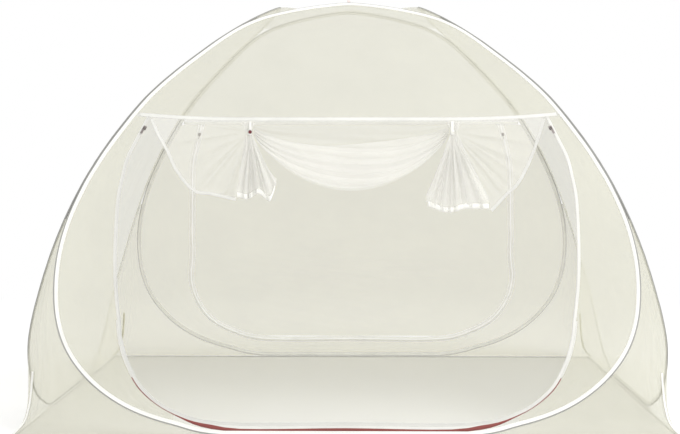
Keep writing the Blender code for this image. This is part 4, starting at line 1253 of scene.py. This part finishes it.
def ground_sheet():
    """The sheer bottom, with small waves, and the hem round it."""

    def place(s, t):
        x, y = (s - 0.5) * base_width, (t - 0.5) * base_depth
        edge = min(1.0, 12 * min(s, 1 - s, t, 1 - t))
        return Vector((x, y, base_net_thickness * (0.5 + 0.35 * edge * soft_noise(s * 14, t * 12, 3.0))))

    sheet = laid_grid("ground_sheet", 80, 72, place, (base_width, base_depth))
    net = settings("net_tent_net")
    material = net_finish("tulle_floor", tuple(net.colour), net.cover * 0.6, net.cell)
    finish_piece(sheet, material, "tent", "net_white", "base_net")
    corners = ((-1, -1), (1, -1), (1, 1), (-1, 1))
    half = hem_thickness / 2
    level = base_net_thickness + gap + half
    points, sideways = [], []
    for (ax, ay), (bx, by) in zip(corners, corners[1:] + corners[:1]):
        for i in range(hem_steps):
            x, y = ax + (bx - ax) * i / hem_steps, ay + (by - ay) * i / hem_steps
            points.append(Vector((x * base_width / 2, y * base_depth / 2, level)))
            sideways.append(Vector((ay - by, bx - ax, 0)).normalized() if i else Vector((-ax, -ay, 0)))
    line = points, sideways, [Vector((0, 0, 1))] * len(points)
    inner = hem_width - 0.001
    profile = [(0.0, half * 0.5), (hem_edge, half), (hem_width * 0.5, half * 0.8), (inner, half)]
    profile += [(hem_width, half * 0.5), (hem_width, -half * 0.5), (inner, -half)]
    profile += [(hem_edge, -half), (0.0, -half * 0.5)]
    hem = swept_tape("ground_hem", line, profile, flat_tape("woven", hem_width), "base_hem", closed=True)


def seam_level(across):
    """Height and depth of the seam's lower side, where the gathered door hangs."""
    door = doorways["front"]
    point = door.wall.place(across, door.seam(across) - seam_tape_width / 2 - door_gap)
    return point.z, point.y


class TiedSide:
    """One side of the door between its free zip edge and the tie, with the tail below the tie."""

    def __init__(self, tie_across, tail_drop, outer_reach, edge_shares, hem_waves):
        self.sign = -1 if tie_across < 0 else 1
        self.tail_drop = tail_drop
        self.hem_waves = hem_waves
        self.tie_height = seam_level(tie_across)[0]
        self.hang_depth = seam_level(0.0)[1]
        self.inner_start = abs(tie_across) + gap
        self.door_half = doorways["front"].line[-1][0] - zip_chain_half - door_end_gap
        self.top_span = self.inner_start - self.door_half
        self.hem_across = abs(tie_across) + outer_reach
        edge_height = seam_level(self.sign * self.door_half)[0]
        edge_drop = edge_height - self.tie_height + tail_drop
        span = self.hem_across - self.door_half
        self.free_points = [(self.door_half + span * x, edge_height - edge_drop * y) for x, y in edge_shares]
        self.pinch_share = pinch_drop / tail_drop
        self.pinch_place = self.pinch_share ** (1 / tail_slowing)
        self.pinch = (self.inner_start, self.tie_height - pinch_drop)

    def fanned(self, across, height, turn):
        """Fold phase and reach: folds fan out from the tie, closer together in the tail."""
        out, down = across - self.pinch[0], self.pinch[1] - height
        angle = math.degrees(math.atan2(out, down))
        fine_folds = settings("net_tent_door").fine_folds
        folds = angle / 21 if angle > 30 else 30 / 21 + (angle - 30) * fine_folds / 42
        folds += 0.32 * math.sin(angle * 0.13 + turn) + 0.2 * math.sin(angle * 0.31 + 2 * turn)
        return 2 * math.pi * folds + turn, math.hypot(out, down)

    def ripple(self, across, height, turn):
        """Depth of the large and the fine folds at a place."""
        phase, reach = self.fanned(across, height, turn)
        door = settings("net_tent_door")
        large = fold_depth * 0.4 * math.sin(phase) * min(1.0, reach / 0.13)
        fine = door.fine_depth * math.sin(phase * 2.3 + 7 * reach) * min(1.0, reach / 0.10)
        return large + fine

    def place(self, s, t):
        """The side's first layer: s runs from the free edge to the tie, t from the seam to the hem."""
        free = curve_through(self.free_points, t)
        progress = t ** tail_slowing
        centre_height = self.tie_height - self.tail_drop * progress
        below = max(0.0, (progress - self.pinch_share) / (1 - self.pinch_share))
        inner = self.inner_start - tail_inner_reach * below
        pull = math.exp(-(((t - self.pinch_place) / pinch_spread_share) ** 2))
        gather = s * (1 - gather_share) + (1 - (1 - s) ** (1 + gather_power * pull)) * gather_share
        across = free[0] + (inner - free[0]) * gather
        height = free[1] + (centre_height - free[1]) * gather
        top_height, top_depth = seam_level(self.sign * (self.door_half + self.top_span * s))
        lead = max(0.0, 1 - t / lead_share)
        across += (self.door_half + self.top_span * s - across) * lead
        height += (top_height - height) * lead
        if t > 0:
            height = min(height, seam_level(self.sign * across)[0] - door_gap * 2)
        swell = min(1.0, progress / self.pinch_share) * min(1.0, 0.15 + 6 * s)
        depth = self.hang_depth + self.ripple(across, height, 0.0) * swell
        depth += (top_depth - depth) * max(0.0, 1 - t / lead_share / 2)
        height += t ** 4 * eased(self.hem_waves, s)
        return self.sign * across, height, depth

    def tail(self, s, t, layer):
        """A fold behind the first: from the seam through the tie, then spreading to the hem."""
        narrow = tie_gather / 2
        if t < tail_start:
            down = t / tail_start
            half = narrow * (2.0 - down)
            outer, inner = self.inner_start + half + 0.004, self.inner_start - half + 0.008
            height = self.tie_height - door_gap * 5 - (pinch_drop - door_gap * 5) * down
            spread = 0.0
        else:
            spread = (t - tail_start) / (1 - tail_start)
            hem_span = self.hem_across - self.inner_start - narrow - 0.006
            outer = self.inner_start + narrow + 0.004 + hem_span * spread
            inner = self.inner_start - narrow + 0.008 - tail_inner_reach * spread
            drop = (self.tail_drop - pinch_drop) * spread * (0.98 - 0.04 * layer)
            height = self.pinch[1] - drop + spread ** 4 * eased(self.hem_waves, s)
        across = outer + (inner - outer) * s
        upright = math.sin(2 * math.pi * (2.5 * s + 0.3 * layer)) * fold_depth * 0.16
        ripple = self.ripple(across, height, 2.1 * layer) * 0.8 * min(1.0, 3 * spread)
        depth = self.hang_depth + layer_spacing * layer * (0.5 + spread) + ripple + upright * (1 - spread)
        return self.sign * across, height, depth


def swag_place(s, t, layer=0):
    """The middle of the door, hanging in curved folds between the two ties."""
    start, end = left_tie_across + door_gap, right_tie_across - door_gap
    across = start + (end - start) * s
    top, seam_depth = seam_level(across)
    hang = pinch_drop + swag_drop * (1 - (2 * s - 1) ** 2) ** 0.85
    gather = math.sin(math.pi * s) ** 0.6
    height = top - hang * t
    slope = 0.55 * math.sin(2.2 * s + 0.4) + 0.25 * math.sin(5 * s)
    folds = 0.75 * math.sin(math.pi * (5.2 * t + slope + 1.3 * layer)) * gather
    fine = math.sin(2 * math.pi * (7.5 * t + 1.6 * slope)) * min(1.0, 5 * t) * (0.4 + 0.6 * t)
    fine *= settings("net_tent_door").fine_depth
    depth = seam_depth + fold_depth / 2 * folds * min(1.0, t / swell_share) + fine
    depth += swag_set_back * min(1.0, (top - height) / swag_set_back / 2)
    return across, height, depth + layer_spacing * layer


def swag_band(s, t, start, layer):
    """The lower, thicker part of the middle, narrow at the ties and gone before its lower edge."""
    s = 0.015 + 0.97 * s
    reach = 0.99 - 0.02 * layer
    rolled = start + 0.12 * math.cos(3.0 * s + layer)
    return swag_place(s, rolled + (reach - rolled) * t, layer)


def gathered_net(name, layers):
    """The folded net; where it lies in small folds, one sheet stands for several layers."""
    door = settings("net_tent_door")
    # Its colour is painted lighter than the walls' net, as painted light against the shade its layers cast on
    # each other.
    return net_finish(name, tuple(door.colour), 1 - (1 - door.cover) ** layers, settings("net_tent_net").cell)


def standing(place):
    """A place function for a grid from one that gives across, height and depth."""

    def turned(s, t):
        across, height, depth = place(s, t)
        return Vector((across, depth, height))

    return turned


def free_zip(hand, place, sign):
    """The other half of the zip, along the door's free edge."""
    steps = free_zip_steps
    points = [standing(place)(0.0, 0.02 + 0.98 * k / steps) for k in range(steps + 1)]
    sideways = []
    for k in range(steps + 1):
        heading = points[min(k + 1, steps)] - points[max(k - 1, 0)]
        sideways.append(Vector((sign * abs(heading.z), 0, -abs(heading.x))).normalized())
    points = [point + outward * gap for point, outward in zip(points, sideways)]
    reach = free_tape_width - gap
    chain, tape = zip_chain_thickness / 2, zip_tape_thickness / 2
    upper = [(0.0, 0.0), (bead_edge, tape), (reach - zip_chain_half, tape)]
    upper += [(reach - bead_end, chain), (reach - bead_edge, chain), (reach, chain * 0.5)]
    line, profile = (points, sideways, [Vector((0, -1, 0))] * len(points)), two_sided(upper)
    material, node = flat_tape("front", free_tape_width), f"front_door_{hand}_zip_tape"
    name = f"front_door_{hand}_free_zip"
    return swept_tape(name, line, profile, material, node, body="front_door", slot="zip_white")


def tail_hem(hand, place):
    """The bright double hem along the tail's lower edge."""
    steps = tail_hem_steps
    points = []
    for k in range(steps + 1):
        across, height, depth = place(0.02 + 0.96 * k / steps, 1.0)
        points.append(Vector((across, depth - 0.0004, height + 0.0035)))
    thick = tail_hem_half
    profile = [(tail_hem_width, thick * 0.5), (tail_hem_width * 0.9, thick), (0.001, thick)]
    profile += [(0.0, thick * 0.4), (0.0, -thick * 0.4), (0.001, -thick), (tail_hem_width, -thick * 0.5)]
    line = points, [Vector((0, 0, 1))] * len(points), [Vector((0, -1, 0))] * len(points)
    name, material = f"front_door_{hand}_tail_hem", flat_tape("woven", tail_hem_width)
    return swept_tape(name, line, profile, material, body="front_door")


def tie_strap(hand, tie_across):
    """The tie's tape, from the seam down over the gathered net."""
    height, depth = seam_level(tie_across)
    half = tie_band_thickness / 2
    top = depth - cloth_thickness / 2 - tie_clearance - half
    face = top - fold_depth / 4
    low = height - pinch_drop
    bends = [(tie_across, top, height), (tie_across, (top + face) / 2, height - pinch_drop * 0.5)]
    bends += [(tie_across, face, low), (tie_across, face, low - tie_band_height)]
    points = [Vector(curve_through(bends, k / tie_steps)) for k in range(tie_steps + 1)]
    line = points, [Vector((1, 0, 0))] * len(points), [Vector((0, -1, 0))] * len(points)
    name, material = f"front_door_{hand}_strap", flat_tape("woven", tie_strap_width)
    profile = flat_section(tie_strap_width / 2, half)
    return swept_tape(name, line, profile, material, f"front_door_{hand}_tie", body="front_door")


def tie_button():
    """A domed button with a rim and a hollow pressed in."""
    low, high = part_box("front_door_tie_button")
    bpy.ops.object.select_all(action="DESELECT")
    bpy.ops.mesh.primitive_cylinder_add(
        vertices=32, radius=button_radius, depth=button_depth, location=(0, 0, 0)
    )
    button = bpy.context.active_object
    button.name = "tie_button"
    bpy.ops.object.mode_set(mode="EDIT")
    bpy.ops.mesh.select_mode(type="FACE")
    bpy.ops.mesh.select_all(action="DESELECT")
    bpy.ops.object.mode_set(mode="OBJECT")
    for face in button.data.polygons:
        face.select = face.normal.z > 0.9
    bpy.ops.object.mode_set(mode="EDIT")
    for thickness, depth in button_insets:
        bpy.ops.mesh.inset(thickness=thickness, depth=depth)
    bpy.ops.object.mode_set(mode="OBJECT")
    edges = button.modifiers.new("edges", "BEVEL")
    edges.width = button_edge
    edges.segments = 2
    bpy.ops.object.modifier_apply(modifier=edges.name)
    button.rotation_euler = (math.pi / 2, 0, 0)
    button.location = (low + high) / 2
    bpy.ops.object.transform_apply(location=True, rotation=True, scale=True)
    bpy.ops.object.shade_smooth_by_angle(angle=math.radians(40))
    material = metal_finish("button_shell", tuple(settings("net_tent_door").button), 0.5, 0.0)
    finish_piece(button, material, "front_door", "button_red", "front_door_tie_button")


def tie_knot():
    """An overhand knot in the tie's tape: a rolled ring squeezed round the strap."""
    low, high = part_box("front_door_tie_knot")
    centre, size = (low + high) / 2, high - low
    knot_reach, knot_depth = 4.15, 1.75

    def trefoil(angle):
        across, up = math.sin(angle) + 2 * math.sin(2 * angle), math.cos(angle) - 2 * math.cos(2 * angle)
        return Vector((across, up, -math.sin(3 * angle)))

    def place(s, t):
        core = trefoil(2 * math.pi * t)
        heading = (trefoil(2 * math.pi * (t + 0.002)) - core).normalized()
        side = heading.cross(Vector((0, 0, 1))).normalized()
        turn = 2 * math.pi * s
        point = core + side * (1.15 * math.cos(turn)) + side.cross(heading) * (0.75 * math.sin(turn))
        across, up = point.x / knot_reach * size.x / 2, point.y / knot_reach * size.z / 2
        return centre + Vector((across, point.z / knot_depth * size.y / 2, up))

    knot = laid_grid("tie_knot", 12, 96, place, (0.004, 0.05), rolled=True)
    material = flat_tape("woven", tie_strap_width)
    finish_piece(knot, material, "front_door", "binding_white", "front_door_tie_knot")


def hanging_ribbon():
    """Ribbon loop on the crown of the front hoop."""
    low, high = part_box("hanging_loop")
    foot = Vector((0, (low.y + high.y) / 2, low.z))
    out_reach, up_reach = loop_depth / 2 - loop_edge, loop_height / 2 - loop_edge
    points, normals = [], []
    for k in range(loop_steps):
        angle = 2 * math.pi * k / loop_steps
        out, up = math.sin(angle), -math.cos(angle)
        points.append(foot + Vector((0, out_reach * out, loop_height / 2 + up_reach * up)))
        normals.append(Vector((0, out / loop_depth, up / loop_height)).normalized())
    wide, thick, rim = loop_width / 2, loop_edge, loop_edge * 0.4
    profile = two_sided([(wide, rim), (wide * 0.85, thick), (-wide * 0.85, thick), (-wide, rim)])
    stitch = settings("net_tent_binding").stitch
    ribbon = tape_finish("loop_ribbon", ribbon_colour, stitch, (0.001, loop_width - 0.001))
    line = points, [Vector((1, 0, 0))] * loop_steps, normals
    swept_tape("hanging_ribbon", line, profile, ribbon, "hanging_loop", body="hanging_loop", closed=True)


class NetTentOperator:
    bl_options = {"REGISTER", "UNDO"}


class NETTENT_OT_bindings(NetTentOperator, bpy.types.Operator):
    """Folded tapes round the four hoop wires"""
    bl_idname = "net_tent.bindings"
    bl_label = "Hoop Bindings"

    def execute(self, context):
        for wall_name in walls:
            hoop_binding(wall_name)
        for corner in CORNERS:
            corner_strap(*corner)
        return {"FINISHED"}


class NETTENT_OT_panels(NetTentOperator, bpy.types.Operator):
    """Stretched net: side walls, upper panels, back surround and door, roof and corners"""
    bl_idname = "net_tent.panels"
    bl_label = "Net Panels"

    def execute(self, context):
        objects = bpy.data.objects
        for wall_name in ("left", "right"):
            declare_panel(*side_panel(wall_name), [objects[f"{wall_name}_binding"]])
        for wall_name in ("front", "back"):
            declare_panel(*upper_panel(wall_name), [objects[f"{wall_name}_binding"]])
            for made in surround(wall_name):
                declare_panel(*made)
        declare_panel(*back_door())
        declare_panel(roof_panel(), 0.62, 0.435)
        for corner in CORNERS:
            strap = objects[f"{corner[0]}_{corner[1]}_strap"]
            declare_panel(corner_panel(*corner), 0.75, 0.66, [strap], held="hung")
        return {"FINISHED"}


class NETTENT_OT_ground(NetTentOperator, bpy.types.Operator):
    """Sheer bottom sheet and its hem"""
    bl_idname = "net_tent.ground"
    bl_label = "Ground Sheet"

    def execute(self, context):
        ground_sheet()
        return {"FINISHED"}


class NETTENT_OT_zips(NetTentOperator, bpy.types.Operator):
    """Seam bands, zip tapes, rose band, and the sliders' metal"""
    bl_idname = "net_tent.zips"
    bl_label = "Seams and Zips"

    def execute(self, context):
        for wall_name in ("front", "back"):
            seam_band(wall_name)
        zip_piece("front_zip_outer", "front", -1, "front_zip_fixed_tape")
        zip_piece("back_zip_outer", "back", -1, "back_zip_surround_tape")
        zip_piece("back_zip_inner", "back", 1, "back_zip_door_tape")
        threshold()
        metal = metal_finish("slider_metal", tuple(settings("net_tent_door").metal), 0.35, 0.8)
        steel = metal_finish("spring_wire", steel_colour, 0.3, 1.0)
        for name, node in frame["nodes"].items():
            if "slider" in name or name.endswith(("_wire", "_ferrule")):
                node.data.materials.clear()
                node.data.materials.append(metal if "slider" in name else steel)
        return {"FINISHED"}


class NETTENT_OT_door(NetTentOperator, bpy.types.Operator):
    """The front door gathered up between its two ties"""
    bl_idname = "net_tent.door"
    bl_label = "Gathered Door"

    def execute(self, context):
        single, folded = gathered_net("tulle_gathered", 1), gathered_net("tulle_folded", 1.6)

        def layer_of(name, columns, rows, place, uv_size, *nodes):
            material = single if nodes else folded
            hung = standing(place)
            sheet = net_sheet(name, columns, rows, hung, uv_size, material, *nodes, body="front_door")
            return sheet, area_of(sheet)

        swag, area = layer_of("front_door_middle", 150, 110, swag_place, (0.64, 0.5), "front_door_swag")
        for layer in range(1, swag_layers + 1):
            start = swag_band_start + 0.07 * layer
            place = lambda s, t: swag_band(s, t, start, layer)
            fold, area = layer_of(f"front_door_middle_{layer}", 120, 50, place, (0.62, 0.2))
        sides = {
            "left": (
                left_tie_across, left_tail_drop, left_tail_outer_reach, left_edge_shares, left_hem_waves,
            ),
            "right": (
                right_tie_across, right_tail_drop, right_tail_outer_reach, right_edge_shares, right_hem_waves,
            ),
        }
        for hand, values in sides.items():
            shape = TiedSide(*values)
            name = f"front_door_{hand}"
            drape, area = layer_of(f"{name}_drape", 200, 90, shape.place, (0.5, 0.4), f"{name}_side")
            trims = [free_zip(hand, shape.place, shape.sign), tail_hem(hand, shape.place)]
            trims.append(tie_strap(hand, values[0]))
            for layer in range(1, tail_layers + 1):
                place = lambda s, t: shape.tail(s, t, layer)
                tail, area = layer_of(f"{name}_tail_{layer}", 70, 70, place, (0.2, 0.2))
        tie_button()
        tie_knot()
        hanging_ribbon()
        return {"FINISHED"}


@finish
def floor_finish(material, shader, colour):
    """Plain floor that turns into an even white away from the tent."""
    for key, value in {"Base Color": (*colour, 1.0), "Roughness": 0.9, "Specular IOR Level": 0.1}.items():
        shader.inputs[key].default_value = value
    here = add_node(material, "ShaderNodeTexCoord").outputs["Object"]
    away = add_node(material, "ShaderNodeVectorMath", {0: here}, operation="LENGTH").outputs["Value"]
    fade = add_node(material, "ShaderNodeMapRange", {"Value": away, "From Min": 1.5, "From Max": 4.0})
    glow = add_node(material, "ShaderNodeEmission", {"Color": white, "Strength": 1.0})
    parts = {0: fade.outputs["Result"], 1: shader.outputs[0], 2: glow.outputs[0]}
    both = add_node(material, "ShaderNodeMixShader", parts).outputs[0]
    material.node_tree.links.new(both, material.node_tree.nodes["Material Output"].inputs["Surface"])


def even_sky(strength):
    """A world with an even light, plain white where the camera or a reflection sees it."""
    world = bpy.data.worlds.new("studio_sky")
    world.use_nodes = True
    bpy.context.scene.world = world
    tree = world.node_tree
    even = tree.nodes["Background"]
    even.inputs["Color"].default_value = white
    even.inputs["Strength"].default_value = strength
    seen = add_node(world, "ShaderNodeBackground", {"Color": white, "Strength": 1.0})
    rays = add_node(world, "ShaderNodeLightPath").outputs
    either = maths(world, "MAXIMUM", rays["Is Camera Ray"], rays["Is Glossy Ray"])
    every = maths(world, "MAXIMUM", either, rays["Is Transmission Ray"])
    choice = add_node(world, "ShaderNodeMixShader", {0: every, 1: even.outputs[0], 2: seen.outputs[0]})
    tree.links.new(choice.outputs[0], tree.nodes["World Output"].inputs["Surface"])


class NETTENT_OT_stage(NetTentOperator, bpy.types.Operator):
    """Plain floor, even soft light and the camera"""
    bl_idname = "net_tent.stage"
    bl_label = "Stage"

    def execute(self, context):
        stage = settings("net_tent_stage")
        bpy.ops.object.select_all(action="DESELECT")
        bpy.ops.mesh.primitive_circle_add(vertices=96, radius=40, fill_type="NGON", location=(0, 0, -0.0006))
        floor = bpy.context.active_object
        floor.name = "studio_floor"
        floor.data.materials.append(floor_finish("studio_floor", tuple(stage.floor_colour)))
        floor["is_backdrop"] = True
        even_sky(stage.sky)
        bpy.ops.object.light_add(type="AREA", location=lamp_place)
        key = bpy.context.active_object
        key.data.shape = "DISK"
        key.data.size = lamp_size
        key.data.energy = stage.key
        key.rotation_euler = (Vector((0, 0, 0.5)) - key.location).to_track_quat("-Z", "Y").to_euler()
        bpy.ops.object.camera_add(location=camera_place)
        camera = bpy.context.active_object
        camera.data.sensor_width = sensor_width
        camera.data.lens = sensor_width * focal_pixels / picture_pixels
        level = math.cos(camera_pitch)
        across, along = math.sin(camera_yaw) * level, math.cos(camera_yaw) * level
        forward = Vector((across, along, -math.sin(camera_pitch)))
        camera.rotation_euler = forward.to_track_quat("-Z", "Y").to_euler()
        bpy.context.scene.camera = camera
        bpy.context.scene.view_settings.view_transform = "Standard"
        return {"FINISHED"}


OPERATORS = (
    NETTENT_OT_bindings, NETTENT_OT_panels, NETTENT_OT_ground,
    NETTENT_OT_zips, NETTENT_OT_door, NETTENT_OT_stage,
)


class NETTENT_PT_panel(bpy.types.Panel):
    """Sizes and colours of the tent, and a button for each group of pieces"""
    bl_label = "Mosquito Net Tent"
    bl_idname = "NETTENT_PT_panel"
    bl_space_type = "VIEW_3D"
    bl_region_type = "UI"
    bl_category = "Net Tent"

    def draw(self, context):
        for name, group in SETTINGS:
            box = self.layout.box()
            for key in group.__annotations__:
                box.prop(getattr(context.scene, name), key)
        for operator in OPERATORS:
            self.layout.operator(operator.bl_idname)


def register():
    for _, group in SETTINGS:
        bpy.utils.register_class(group)
    for name, group in SETTINGS:
        setattr(bpy.types.Scene, name, PointerProperty(type=group))
    for operator in OPERATORS:
        bpy.utils.register_class(operator)
    bpy.utils.register_class(NETTENT_PT_panel)


def unregister():
    bpy.utils.unregister_class(NETTENT_PT_panel)
    for operator in reversed(OPERATORS):
        bpy.utils.unregister_class(operator)
    for name, group in reversed(SETTINGS):
        delattr(bpy.types.Scene, name)
        bpy.utils.unregister_class(group)


def main():
    register()
    bpy.ops.net_tent.bindings()
    bpy.ops.net_tent.panels()
    bpy.ops.net_tent.ground()
    bpy.ops.net_tent.zips()
    bpy.ops.net_tent.door()
    bpy.ops.net_tent.stage()
    for name, box in (("cad", cad_bounds), ("visual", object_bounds())):
        [[float(value) for value in corner] for corner in box]


if __name__ == "__main__":
    main()
